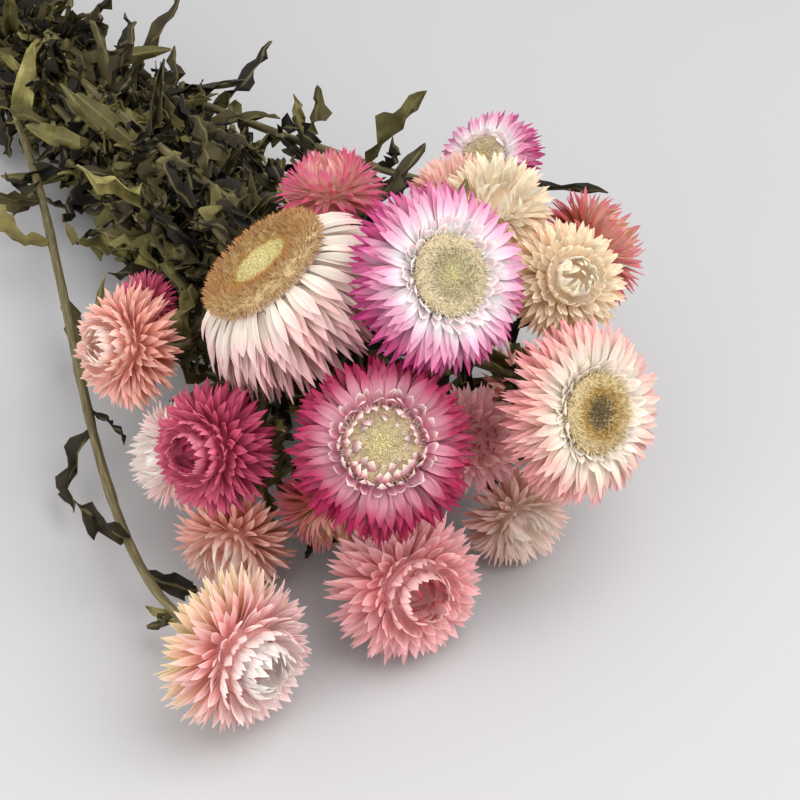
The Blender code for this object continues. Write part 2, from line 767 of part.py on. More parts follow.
def main():
    for obj in list(bpy.data.objects):
        bpy.data.objects.remove(obj)
    heads = [Head(number, *row) for number, row in enumerate(HEADS, 1)]
    settle_heads(heads)
    solids = [solid for head in heads for solid in make_head(head)]
    twine = tie_mesh()
    add_object("twine_tie", *twine, material("twine", TWINE_COLOUR, 0.85))
    paths = settle_stems(first_paths(heads), [head_cloud(head) for head in heads])
    tubes = [stem_mesh(path) for path in paths]
    leaves = place_leaves(paths, tubes + solids + [twine])
    leaf_finish = material("dried_leaf", LEAF_COLOUR, 0.8)
    for head, tube, blades in zip(heads, tubes, leaves):
        stem = add_object(f"leafy_stem_{head.name}", *tube, leaf_finish)
        flatten_on_table(stem)
        fuse(stem, blades)


main()
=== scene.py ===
"""A tied bunch of dried strawflowers: its looks, built round the packed solids.

Every solid is replaced by a finer piece that keeps its form: heads of separate papery bracts,
buttons of florets, ridged stems with crumpled leaves, and a tie of twisted jute. Sizes are in
millimetres and become metres where a mesh is made. X runs along the bunch towards the heads,
Z is up, and the bunch rests on Z = 0.
"""

import functools
import math
import random

import bmesh
import bpy
import numpy as np
from bpy.props import FloatProperty, FloatVectorProperty, IntProperty, PointerProperty
from bpy.types import Operator, Panel, PropertyGroup
from mathutils import Matrix, Vector, noise
from mathutils.bvhtree import BVHTree


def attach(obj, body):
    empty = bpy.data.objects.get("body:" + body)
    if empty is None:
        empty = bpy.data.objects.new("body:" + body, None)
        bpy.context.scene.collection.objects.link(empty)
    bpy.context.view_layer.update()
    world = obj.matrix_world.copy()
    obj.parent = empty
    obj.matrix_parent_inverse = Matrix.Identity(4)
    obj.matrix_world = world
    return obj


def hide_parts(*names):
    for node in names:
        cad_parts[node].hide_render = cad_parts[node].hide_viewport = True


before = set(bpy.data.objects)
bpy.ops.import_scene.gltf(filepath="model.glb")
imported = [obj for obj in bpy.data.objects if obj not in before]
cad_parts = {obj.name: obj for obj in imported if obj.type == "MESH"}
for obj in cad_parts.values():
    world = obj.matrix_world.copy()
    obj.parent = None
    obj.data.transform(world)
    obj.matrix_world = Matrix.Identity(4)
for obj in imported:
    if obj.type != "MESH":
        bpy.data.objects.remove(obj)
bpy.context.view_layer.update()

bl_info = {
    "name": "Dried Strawflower Bunch",
    "version": (1, 0, 0),
    "blender": (4, 5, 0),
    "location": "3D View > Sidebar > Strawflowers",
    "description": "Builds a tied bunch of dried strawflowers round its packed solids",
    "category": "Add Mesh",
}

MM = 0.001
GAP = 0.3  # between neighbouring solids that touch on the real bunch

# Heads are placed as an onlooker sees them: across to the right, up, and towards the eye.
ONLOOKER_AZIMUTH = math.radians(59.2)
ONLOOKER_ELEVATION = math.radians(42)
CLUSTER_CENTRE = Vector((151.0, -7.0, 50.0))

# The bundle of stems, with its tie and its cut ends.
TIE_CENTRE = CLUSTER_CENTRE + Vector((-288.0, 0.0, -36.0))
BUNDLE_RISE = math.radians(6)
STEM_RADIUS = 1.3
NECK_RADIUS = 1.05
STEM_SIDES = 5
STEM_PITCH = 2 * STEM_RADIUS + GAP
STEMS_PER_RING = (1, 7, 13)
STRAIGHT_IN_TIE = 7.0
BELOW_TIE = (44.0, 60.0)
ENDS_SPLAY = 0.15
END_ON_TABLE = 0.85 * STEM_RADIUS  # a cut end that lies down is pressed a little flat

# From the tie each stem follows one bend: it leaves along the bundle and arrives along its neck.
FAN_POINTS = 9
FAN_CROWDING = 1.5
LEAVING_PULL = 0.35
ARRIVING_PULL = 0.18
NECK_LENGTH = 9.0
NECK_POINTS = 4
SLOT_PHASE = 0.5  # how far the rings of slots are turned, in steps from one to the next
SLOT_REACH = 20.0  # how far ahead of the tie a stem's straight way to its head picks its slot

# Stems are settled by small pushes on samples along them, shared out to the points of their bend.
SETTLING_ROUNDS = 80
SAMPLES_PER_POINT = 7
IN_TIE_APART = STEM_PITCH - 0.2
STEMS_APART = 5.2
HEAD_TO_STEM = 5.0
OFF_TABLE = STEM_RADIUS + 0.6
STEM_PUSH = 0.8
HEAD_PUSH = 0.35
LONGEST_PUSH = 1.5
EVENING = 0.15
PINNED_AT_TIE = 3
PINNED_AT_HEAD = 2
NEAR_SEAT = 3  # the last points of a stem, which may come close to its own head
TINY = 1e-6

TWINE_RADIUS = 1.0
TWINE_TURNS = 4
TWINE_RIDGE = ((-0.6, 1.75), (0.6, 1.75), (1.0, 1.0))  # along and out from a turn's middle, in twine radii
TIE_SEGMENTS = 16

# Leaves: dried, curled blades that spring from all sides of each stem.
LEAVES_PER_STEM = 10
LEAF_LENGTHS = (21.0, 36.0)
LEAF_WIDTHS = (6.0, 9.5)
LEAF_THICKNESS = 0.9
LEAF_KEEL = 0.08
LEAF_CURL = 2.6
LEAF_TWIST = 1.2
LEAF_WAVES = (0.02, 0.06)
LEAF_STATIONS = (0.0, 0.30, 0.58, 0.82, 1.0)
LEAF_OUTLINE = (0.0, 0.85, 1.0, 0.62, 0.0)
LEAF_CORNERS = 3
LEAF_CLEARANCE = 0.5
LEAF_TRIES = 40
LEAF_STRAY = (0.1, 0.9)  # where a leaf springs within its own stretch of stem
LEAF_FORWARD = (0.3, 1.0)
LEAF_OUTWARD = (0.5, 1.0)
LEAF_SHRINK = 0.5
LEAVES_FROM_TIE = 12.0
LEAVES_FROM_HEAD = 14.0
GOLDEN_TURN = 2.4

# Each kind of head, as shares of its radius. A row of bracts is (valley below it, notch between
# two bracts, tip), each a pair of radius and height. The rim closes the last row, and the crown
# is the middle of the top. "spread" is how far the bracts' middle lies above the seat.
KINDS = {
    "open": {
        "petals": 18,
        "spread": 0.20,
        "rows": (
            ((0.10, 0.00), (0.74, -0.03), (0.92, -0.10)),
            ((0.28, 0.13), (0.84, 0.12), (1.00, 0.08)),
            ((0.35, 0.21), (0.82, 0.25), (0.97, 0.25)),
            ((0.40, 0.29), (0.72, 0.36), (0.86, 0.40)),
        ),
        "rim": (0.43, 0.35),
        "crown": 0.35,
        "button": "dome",
    },
    "drooping": {
        "petals": 20,
        "spread": 0.20,
        "rows": (
            ((0.08, 0.00), (0.60, -0.24), (0.72, -0.52)),
            ((0.36, 0.12), (0.78, -0.12), (0.92, -0.36)),
            ((0.46, 0.22), (0.88, 0.08), (1.00, -0.12)),
            ((0.54, 0.31), (0.82, 0.24), (0.94, 0.12)),
        ),
        "rim": (0.60, 0.40),
        "crown": 0.40,
        "button": "brush",
    },
    "bud": {
        "petals": 13,
        "spread": 0.25,
        "rows": (
            ((0.11, 0.00), (0.66, -0.04), (0.84, -0.12)),
            ((0.28, 0.14), (0.82, 0.16), (1.00, 0.12)),
            ((0.36, 0.27), (0.76, 0.40), (0.92, 0.46)),
            ((0.42, 0.40), (0.62, 0.66), (0.68, 0.80)),
            ((0.42, 0.58), (0.40, 0.84), (0.26, 0.94)),
        ),
        "rim": (0.20, 0.66),
        "crown": 0.58,
        "button": None,
    },
    "star": {
        "petals": 12,
        "spread": 0.25,
        "rows": (
            ((0.12, 0.00), (0.60, 0.00), (0.86, -0.08)),
            ((0.28, 0.16), (0.76, 0.20), (1.00, 0.20)),
            ((0.36, 0.30), (0.70, 0.50), (0.88, 0.62)),
            ((0.36, 0.44), (0.44, 0.76), (0.48, 0.96)),
        ),
        "rim": (0.22, 0.50),
        "crown": 0.62,
        "button": None,
    },
}

# How far a bract's tip and a notch stray: share of radius, share of a step round, share of height.
TIP_JITTER = (0.06, 0.12, 0.03)
NOTCH_JITTER = (0.04, 0.05, 0.0)

# A button's turned outline, as shares of the rim it stands on, with its sides and its ripple.
BUTTONS = {
    "dome": {
        "outline": ((0.92, 0.0), (0.98, 0.20), (0.82, 0.40), (0.52, 0.42), (0.30, 0.34)),
        "segments": 14,
        "ripple": 0.05,
    },
    "brush": {
        "outline": ((0.97, 0.0), (1.04, 0.12), (0.99, 0.24), (0.80, 0.30), (0.56, 0.22), (0.50, 0.20)),
        "segments": 22,
        "ripple": 0.03,
    },
}

RIPPLE_LIFT = 0.4

# One line a head: kind, colour, radius, place as seen (across, up, towards), and the way it faces.
HEADS = (
    ("drooping", "blush", 27.5, (-29.0, 25.5, 4.0), (-0.58, 0.66, 0.47)),
    ("open", "white_magenta", 24.0, (8.0, 26.0, 20.0), (0.50, 0.08, 0.86)),
    ("open", "magenta", 22.8, (-4.0, -6.5, 22.0), (0.05, 0.20, 0.98)),
    ("open", "cream_pink", 23.5, (44.0, 4.5, 6.0), (0.60, -0.05, 0.80)),
    ("bud", "salmon", 21.0, (-1.5, -42.5, 2.5), (0.45, -0.25, 0.86)),
    ("bud", "shell", 21.5, (-40.0, -61.0, 22.0), (0.72, -0.35, 0.60)),
    ("bud", "rose", 17.5, (-44.5, -9.5, 6.0), (-0.60, -0.15, 0.78)),
    ("bud", "peach", 17.3, (-71.0, 14.0, -30.0), (-0.75, 0.00, 0.66)),
    ("star", "rose", 15.0, (-18.0, 53.5, -25.0), (-0.15, 0.85, 0.50)),
    ("open", "white_magenta", 16.0, (23.0, 63.0, -50.0), (-0.50, 0.35, 0.79)),
    ("star", "peach", 13.5, (16.0, 55.0, -38.0), (0.00, 0.55, 0.83)),
    ("star", "cream", 16.0, (29.0, 43.0, -15.0), (0.20, 0.40, 0.88)),
    ("bud", "cream", 16.5, (39.5, 25.5, -4.0), (0.25, 0.10, 0.96)),
    ("star", "russet", 17.0, (50.0, 40.0, -35.0), (0.75, 0.50, 0.30)),
    ("star", "peach", 16.5, (-38.0, -31.0, -10.0), (-0.20, -0.70, 0.68)),
    ("star", "shell", 15.0, (-57.0, -15.0, -20.0), (-0.85, -0.10, 0.50)),
    ("star", "russet", 16.0, (-18.0, -30.0, -5.0), (0.10, -0.85, 0.40)),
    ("star", "cream", 15.5, (29.5, -25.0, -18.5), (0.45, -0.60, 0.66)),
    ("star", "salmon", 15.0, (19.0, -11.0, -14.0), (0.20, 0.05, 0.98)),
    ("star", "rose", 11.0, (-70.0, 25.0, -58.0), (-0.60, 0.20, 0.77)),
    ("star", "peach", 17.0, (34.0, 9.0, -47.0), (0.70, 0.15, 0.50)),
)

# The heads that lie on the table, by their number in that list, and how flat they are pressed.
LYING_HEADS = (5, 6, 15, 18, 21)
PRESSED = 2.4
HEAD_CLEARANCE = 1.015
HEAD_NUDGE = 0.8
HEAD_ROUNDS = 80
NEAR_HEADS = 1.2
HEART_HEIGHT = 0.3  # the middle of a head's bulk, as a share of its radius above the seat
CORE_RADIUS = 0.7

# Points on a head's bracts that keep the stems off: how far out along them, and how many round.
SKIRT_SHARES = (0.45, 0.75, 1.0)
FEWEST_IN_SKIRT = 6
MORE_IN_SKIRT = 10

CAMERA_DISTANCE = 600.0
CAMERA_LENS = 108.0  # on a sensor of 36 mm, so the picture is 200 mm wide at the heads

# Fine bracts: each row of a head's solid becomes layers of separate blades.
LAYERS_PER_ROW = 2
FINE_KINDS = {
    "open": {"bracts": 40, "width": 0.115, "closing": ()},
    "drooping": {"bracts": 46, "width": 0.105, "closing": ()},
    "bud": {
        "bracts": 32,
        "width": 0.125,
        "closing": (((0.30, 0.55), (0.15, 0.95), 9), ((0.20, 0.50), (0.05, 0.88), 6)),
    },
    "star": {
        "bracts": 26,
        "width": 0.115,
        "closing": (((0.24, 0.45), (0.26, 0.97), 9), ((0.16, 0.45), (0.10, 0.92), 6)),
    },
}
# Short upright bracts round the florets of some open heads, one line a layer.
HEARTS = {
    "02": (((0.44, 0.33), (0.60, 0.48), 30), ((0.42, 0.35), (0.50, 0.47), 26)),
    "03": (
        ((0.43, 0.33), (0.58, 0.58), 30),
        ((0.42, 0.35), (0.45, 0.62), 26),
        ((0.40, 0.36), (0.33, 0.58), 22),
        ((0.34, 0.36), (0.22, 0.52), 14),
    ),
    "04": (((0.44, 0.33), (0.60, 0.48), 30), ((0.42, 0.35), (0.50, 0.48), 26)),
    "10": (((0.44, 0.33), (0.58, 0.48), 24), ((0.41, 0.35), (0.42, 0.56), 20)),
}
UNDER_SCALES = ((0.09, -0.01), (0.45, -0.08))  # the short outermost scales that hide the stem's seat
BRACT_STATIONS = (0.0, 0.18, 0.38, 0.58, 0.76, 0.90, 1.0)
BRACT_WIDTHS = (0.45, 0.72, 0.95, 1.00, 0.76, 0.38, 0.03)
BRACT_COLUMNS = 3
ANGLE_STRAY = 0.45
LENGTH_STRAY = (0.90, 1.08)
WIDTH_STRAY = (0.7, 1.2)
TIP_STRAY = 0.05
UPRIGHT = 1.2  # the rise, in radians, at which a bract counts as upright and arches inwards
FLAT_BULGE, UPRIGHT_BULGE = 0.07, -0.16
CUP = (0.15, 0.55)
ROLL = 0.5
SWAY = 0.10
PRESSED_SPREAD = 0.45
BRACT_SEED, FLORET_SEED, LEAF_SEED = 11, 23, 37

# Beds of florets. The profile runs from the rim to the middle in shares of the rim; a zone is
# where it starts and stops along the profile, how many florets, how long, how thick, how leaning.
FLORET_BEDS = {
    "dome": {
        "profile": ((0.93, 0.00), (0.97, 0.10), (0.84, 0.20), (0.55, 0.20), (0.28, 0.17), (0.0, 0.15)),
        "zones": (
            (0.00, 0.42, 520, 0.15, 0.018, 0.15),
            (0.42, 0.76, 480, 0.10, 0.020, 0.05),
            (0.76, 1.00, 150, 0.07, 0.030, 0.0),
        ),
    },
    "brush": {
        "profile": (
            (0.96, 0.00), (1.02, 0.11), (0.97, 0.21), (0.80, 0.26), (0.58, 0.20), (0.50, 0.16),
            (0.25, 0.165), (0.0, 0.17),
        ),
        "zones": (
            (0.00, 0.50, 2100, 0.110, 0.010, 0.0),
            (0.50, 0.62, 420, 0.085, 0.010, 0.0),
            (0.62, 1.00, 620, 0.025, 0.022, 0.0),
        ),
    },
}
GOLDEN_ANGLE = math.pi * (3 - math.sqrt(5))
FLORET_STRAY = 0.16

# Fine stems and leaves.
STEM_STEPS = 90
STEM_FINE_SIDES = 10
STEM_RIDGE = 0.05
STEM_KNOTS = 7
LEAF_ROWS, LEAF_COLUMNS = 11, 5
LEAF_NARROWING = (0.55, 0.85)
LEAF_FOLD = (-1.5, 1.7)
LEAF_RIPPLE = 0.9
CRUMPLE_SIZE, CRUMPLE_DEPTH = 2.6, 3.2
SMALL_LEAVES = 70
FEW_LEAVES = {5: 8, 9: 24}  # the stems that stand apart show fewer
SMALL_LEAF_TRIES = 12
SMALL_LEAF_LENGTHS = (9.0, 21.0)
SMALL_LEAF_WIDTHS = (4.0, 9.0)
TABLE_CLEARANCE = 0.2

TWINE_STRANDS = 3
TWINE_STEPS = 56
TWINE_LAY = 6.0  # mm along the twine for one turn of its strands
TWINE_END = 16.0
KNOT_TURN = math.radians(60)
KNOT_SIZE = 3.0

SHARP = math.radians(55)

# sRGB colours of the bracts, base and tip for the outer, middle and inner rows, then the heart.
BRACT_HEX = {
    "blush": ("f8e9dc", "e6b0b6", "fbf1e6", "efc6c6", "fdf6ec", "f6dcd8", "fdf6ec"),
    "white_magenta": ("f2aed2", "cf3f8e", "fce8f0", "da559e", "fffdfc", "f6bcd8", "fffaf6"),
    "magenta": ("b0225a", "a81048", "c02c66", "b81a54", "f2bccc", "c42c66", "fdf4ee"),
    "cream_pink": ("fae8d4", "f2acb0", "fdf4e6", "f7c4c2", "fffaf0", "fbe0d6", "fffaf0"),
    "salmon": ("f8bcbc", "fed8d4", "fcc8ca", "fdd2d4", "fccfd0", "fee2de", "b83a4a"),
    "shell": ("faebc4", "fbeecc", "fdcdca", "fee2e0", "fffaf6", "fff6f2", "fffdf8"),
    "rose": ("cf5074", "bf3560", "d96488", "e0688c", "e67f9c", "f09cb2", "b02c58"),
    "bright_rose": ("f2b4ac", "d84a80", "f6c8bc", "e05c90", "fadcd0", "ea7ca4", "f6c8c0"),
    "peach": ("f8bca6", "fac8b6", "fac8ba", "fcd4c6", "fcdcd0", "feece4", "fff8f0"),
    "cream": ("f6b880", "fbd0a4", "fde8c8", "fef2dc", "fff8ea", "fffaec", "fffaec"),
    "ivory": ("fedccb", "fed2ca", "fee8da", "fee0d8", "fff4ea", "fff0ea", "fff8f0"),
    "russet": ("c06a52", "d8607a", "dc8a6c", "e27484", "f8e0c6", "eea4aa", "f2c8aa"),
}
PALETTE_OF_HEAD = {"09": "bright_rose", "18": "ivory"}
FLORET_HEX = {
    "green_dome": (("f5f0e6", 0.0), ("edead8", 0.35), ("c8cab4", 0.55), ("dadab4", 0.80), ("eeecae", 1.0)),
    "cream_dome": (("f2e8e0", 0.0), ("f0e8d8", 0.40), ("f0ecca", 0.70), ("f6f0b8", 1.0)),
    "hollow_dome": (("f0e2c0", 0.0), ("e2d0a0", 0.30), ("c89c34", 0.50), ("574a30", 0.68), ("463c2a", 1.0)),
    "brush": (
        ("dcb494", 0.0), ("b67c44", 0.15), ("a8622a", 0.40), ("bd8622", 0.60), ("d2ca80", 0.65),
        ("dcd69a", 1.0),
    ),
}
DOME_OF_HEAD = {"02": "green_dome", "03": "cream_dome", "04": "hollow_dome", "10": "cream_dome"}

LEAF_HEX = (
    ("110e08", 0.0), ("221d12", 0.28), ("38301c", 0.5), ("554e2a", 0.74), ("807744", 0.92),
    ("a39a62", 1.0),
)
RIB_HEX = "7d7448"
STEM_HEX = (("38311f", 0.25), ("5e5433", 0.5), ("80734a", 0.72))
JUTE_HEX = (("6f5230", 0.3), ("a8834f", 0.55), ("caa873", 0.8))
SKY_HEX = "f4f4f6"
TIP_STARTS, TIP_FULL = 0.35, 1.05
VEIN_SPACING = 0.7  # mm; real veins lie 0.3 mm apart, too fine to show
STAIN_SIZE = 0.006
WRINKLE_SIZE = 0.0018
FIBRE_LENGTH = 9.0  # mm
JUTE_FIBRE = 0.0005

# Lamps: name, place as seen from the heads in mm, size in mm, share of the key's power.
LAMPS = (
    ("window light", (270.0, 340.0, 370.0), 640.0, 1.0),
    ("bounce card", (-380.0, -160.0, 420.0), 500.0, 0.62),
)


def onlooker_axes():
    """Unit vectors across, up and towards the onlooker, in the bunch's own frame."""
    sin_a, cos_a = math.sin(ONLOOKER_AZIMUTH), math.cos(ONLOOKER_AZIMUTH)
    sin_e, cos_e = math.sin(ONLOOKER_ELEVATION), math.cos(ONLOOKER_ELEVATION)
    across = Vector((cos_a, sin_a, 0))
    up = Vector((-sin_a * sin_e, cos_a * sin_e, cos_e))
    towards = Vector((sin_a * cos_e, -cos_a * cos_e, sin_e))
    return across, up, towards


def as_seen(numbers):
    """A vector given across, up and towards the onlooker, in the bunch's own frame."""
    return sum((n * axis for n, axis in zip(numbers, onlooker_axes())), Vector())


class Head:
    """One flower head: where its seat is, which way it faces, and how it is turned on its stem."""

    def __init__(self, number, kind, colour, radius, place, facing):
        self.name = f"{number:02d}"
        self.kind, self.kind_name = KINDS[kind], kind
        self.colour = colour
        self.radius = radius
        self.facing = as_seen(facing).normalized()
        self.seat = CLUSTER_CENTRE + as_seen(place) - self.facing * self.kind["spread"] * radius
        self.turn = random.Random(number).uniform(0, math.tau)
        self.lies = number in LYING_HEADS

    def rotation(self):
        """Turns the head's own frame, whose Z is the way it faces, into the bunch's."""
        return self.facing.to_track_quat("Z", "Y").to_matrix() @ Matrix.Rotation(self.turn, 3, "Z")

    def to_world(self, point):
        return self.seat + self.rotation() @ Vector(point)

    def heart(self):
        return self.seat + self.facing * HEART_HEIGHT * self.radius

    def scaled(self, pair):
        return pair[0] * self.radius, pair[1] * self.radius


def ring(count, radius, height, phase=0.0):
    """Points round the head's axis; phase is in steps from one point to the next."""
    angles = [(k + phase) * math.tau / count for k in range(count)]
    return [(radius * math.cos(a), radius * math.sin(a), height) for a in angles]


def strayed(rng, head, points, jitter):
    """A ring's points, each moved a little in radius, angle and height, so that no two are alike."""
    in_radius, in_step, in_height = jitter
    step = math.tau / len(points)
    moved = []
    for x, y, z in points:
        grow = 1 + rng.uniform(-in_radius, in_radius)
        turn = rng.uniform(-in_step, in_step) * step
        lift = rng.uniform(-in_height, in_height) * head.radius
        across = grow * (x * math.cos(turn) - y * math.sin(turn))
        along = grow * (x * math.sin(turn) + y * math.cos(turn))
        moved.append((across, along, z + lift))
    return moved


def bract_mesh(head):
    """Rows of pointed bracts, one above the other, as one closed skin in the head's own frame.

    The skin runs from the seat on the stem out to a row's tips and notches, back to the valley
    above it, and on to the next row, whose tips lie over the notches of the row below.
    """
    rng = random.Random(f"bracts {head.name}")
    rows, count = head.kind["rows"], head.kind["petals"]
    above = [row[0] for row in rows[1:]] + [head.kind["rim"]]
    points, faces = [], []

    def add(new):
        points.extend(new)
        return list(range(len(points) - len(new), len(points)))

    valley = add(ring(count, *head.scaled(rows[0][0])))
    faces.append(valley[::-1])
    for number, (_, notch, tip) in enumerate(rows):
        odd = number % 2
        tips = ring(count, *head.scaled(tip), phase=0.0 if odd else 0.5)
        notches = ring(count, *head.scaled(notch), phase=0.5 if odd else 0.0)
        tips = add(strayed(rng, head, tips, TIP_JITTER))
        notches = add(strayed(rng, head, notches, NOTCH_JITTER))
        over_valley, between = (tips, notches) if odd else (notches, tips)
        upper = add(ring(count, *head.scaled(above[number])))
        for k in range(count):
            after = (k + 1) % count
            first, middle, last = over_valley[k], between[k], over_valley[after]
            for inner in (valley, upper):
                a, b = inner[k], inner[after]
                three = [(a, middle, first), (a, b, middle), (b, last, middle)]
                faces.extend(three if inner is valley else [face[::-1] for face in three])
        valley = upper
    if head.kind["button"]:
        faces.append(valley)
    else:
        crown = add([(0, 0, head.kind["crown"] * head.radius)])[0]
        faces.extend((valley[k], valley[(k + 1) % count], crown) for k in range(count))
    return points, faces


def numbered(rings, count):
    """The indexes of the points of some rings that hold as many points each."""
    return [list(range(k * count, (k + 1) * count)) for k in range(rings)]


def skin(rings, closed=False):
    """Faces between rings of point numbers, each as long as the next, capped or joined round."""
    faces = []
    pairs = list(zip(rings, rings[1:]))
    if closed:
        pairs.append((rings[-1], rings[0]))
    for near, far in pairs:
        for k in range(len(near)):
            after = (k + 1) % len(near)
            faces.append((near[k], near[after], far[after]))
            faces.append((near[k], far[after], far[k]))
    if not closed:
        faces.append(tuple(rings[0][::-1]))
        faces.append(tuple(rings[-1]))
    return faces


def button_mesh(head):
    """The florets in the middle of an open head: a low rippled dome, or a brush round a flat eye."""
    shape = BUTTONS[head.kind["button"]]
    rim, height = head.scaled(head.kind["rim"])
    segments, last = shape["segments"], len(shape["outline"]) - 1
    points = []
    for number, (across, up) in enumerate(shape["outline"]):
        ripple = shape["ripple"] if 0 < number < last else 0.0
        for k, (x, y, z) in enumerate(ring(segments, across * rim, height + GAP + up * rim)):
            share = 1 + ripple * (1 if (k + number) % 2 else -1)
            lift = RIPPLE_LIFT * ripple * across * rim * (1 if k % 2 else -1)
            points.append((x * share, y * share, z + lift))
    return points, skin(numbered(last + 1, segments))


def tree_of(points, faces):
    """A search tree over the faces."""
    return BVHTree.FromPolygons([Vector(p) for p in points], [tuple(f) for f in faces])


def settle_heads(heads):
    """Moves heads that touch apart, a little at a time, and puts those that lie down on the table."""
    for _ in range(HEAD_ROUNDS):
        trees = []
        for head in heads:
            points, faces = bract_mesh(head)
            points = [head.to_world(Vector(p) * HEAD_CLEARANCE) for p in points]
            if head.lies:
                drop = Vector((0, 0, min(p.z for p in points) + PRESSED))
                head.seat -= drop
                points = [p - drop for p in points]
            trees.append(tree_of(points, faces))
        moved = False
        for i, head in enumerate(heads):
            for j, other in enumerate(heads[:i]):
                reach = head.radius + other.radius
                away = head.heart() - other.heart()
                if away.length < NEAR_HEADS * reach and trees[i].overlap(trees[j]):
                    nudge = away.normalized() * HEAD_NUDGE
                    head.seat += nudge * other.radius / reach
                    other.seat -= nudge * head.radius / reach
                    moved = True
        if not moved:
            break


def head_cloud(head):
    """Points in and over a head, each with how far off the middle of a stem has to stay."""
    core = [(*p, CORE_RADIUS * head.radius) for p in (head.seat, head.heart())]
    skirt = []
    for valley, _, tip in head.kind["rows"]:
        for share in SKIRT_SHARES:
            radius = valley[0] + (tip[0] - valley[0]) * share
            height = valley[1] + (tip[1] - valley[1]) * share
            skirt += ring(FEWEST_IN_SKIRT + round(MORE_IN_SKIRT * radius), *head.scaled((radius, height)))
    return core + [(*head.to_world(p), STEM_RADIUS + HEAD_TO_STEM) for p in skirt]


def stem_slots():
    """Where the stems pass through the tie, as offsets from its middle: one, then two rings."""
    slots = [(0.0, 0.0)]
    first = STEM_PITCH / (2 * math.sin(math.pi / STEMS_PER_RING[1]))
    for number, count in enumerate(STEMS_PER_RING[1:]):
        slots += [(x, y) for x, y, _ in ring(count, first + number * STEM_PITCH, 0, SLOT_PHASE)]
    return slots


def bundle_axes():
    """Unit vectors along the tied bundle, to its side and up from it."""
    along = Vector((math.cos(BUNDLE_RISE), 0, math.sin(BUNDLE_RISE)))
    side = Vector((0, 1, 0))
    return along, side, along.cross(side)


def assign_slots(heads):
    """Gives each head the slot that keeps its stem's way straight, by swaps until none helps."""
    _, side, lift = bundle_axes()
    slots = stem_slots()
    ways = [(head.seat - TIE_CENTRE).normalized() * SLOT_REACH for head in heads]
    chosen = list(range(len(heads)))

    def cost(head, slot):
        return math.dist((ways[head].dot(side), ways[head].dot(lift)), slots[slot]) ** 2

    better = True
    while better:
        better = False
        for i in range(len(heads)):
            for j in range(i):
                kept = cost(i, chosen[i]) + cost(j, chosen[j])
                swapped = cost(i, chosen[j]) + cost(j, chosen[i])
                if swapped < kept - TINY:
                    chosen[i], chosen[j] = chosen[j], chosen[i]
                    better = True
    return [slots[s] for s in chosen]


def bezier(a, b, c, d, t):
    """The point at t on a cubic curve."""
    s = 1 - t
    return a * s**3 + b * 3 * s * s * t + c * 3 * s * t * t + d * t**3


def first_paths(heads):
    """Each stem's points from its cut end, straight through the tie, and in one bend to its head."""
    along, side, lift = bundle_axes()
    shares = [1 - (1 - k / FAN_POINTS) ** FAN_CROWDING for k in range(1, FAN_POINTS)]
    paths = []
    for number, (head, slot) in enumerate(zip(heads, assign_slots(heads))):
        offset = side * slot[0] + lift * slot[1]
        middle = TIE_CENTRE + offset
        end = middle - along * random.Random(f"stem {number}").uniform(*BELOW_TIE) + offset * ENDS_SPLAY
        end.z = max(end.z, END_ON_TABLE)
        start = middle + along * STRAIGHT_IN_TIE
        seat = head.seat - head.facing * GAP
        neck = seat - head.facing * NECK_LENGTH
        reach = (neck - start).length
        leaving = start + along * reach * LEAVING_PULL
        arriving = neck - head.facing * reach * ARRIVING_PULL
        fan = [bezier(start, leaving, arriving, neck, share) for share in shares]
        paths.append([end, middle - along * STRAIGHT_IN_TIE, start, *fan, neck, seat])
    return np.array(paths)


def sampling(count):
    """Weights that turn a path's points into evenly shared samples along it."""
    samples = (count - 1) * SAMPLES_PER_POINT + 1
    weights = np.zeros((samples, count))
    for sample in range(samples):
        k = min(sample // SAMPLES_PER_POINT, count - 2)
        share = sample / SAMPLES_PER_POINT - k
        weights[sample, k] += 1 - share
        weights[sample, k + 1] += share
    return weights


def pushed_off(points, others, reach):
    """How far each point has to move to be its reach away from the others, summed over them."""
    squared = (points**2).sum(1)[:, None] + (others**2).sum(1)[None] - 2 * points @ others.T
    near, other = np.nonzero(squared < reach**2)
    away = points[near] - others[other]
    far = np.linalg.norm(away, axis=1) + TINY
    push = np.zeros_like(points)
    np.add.at(push, near, away * ((reach[near, other] - far) / far)[:, None])
    return push


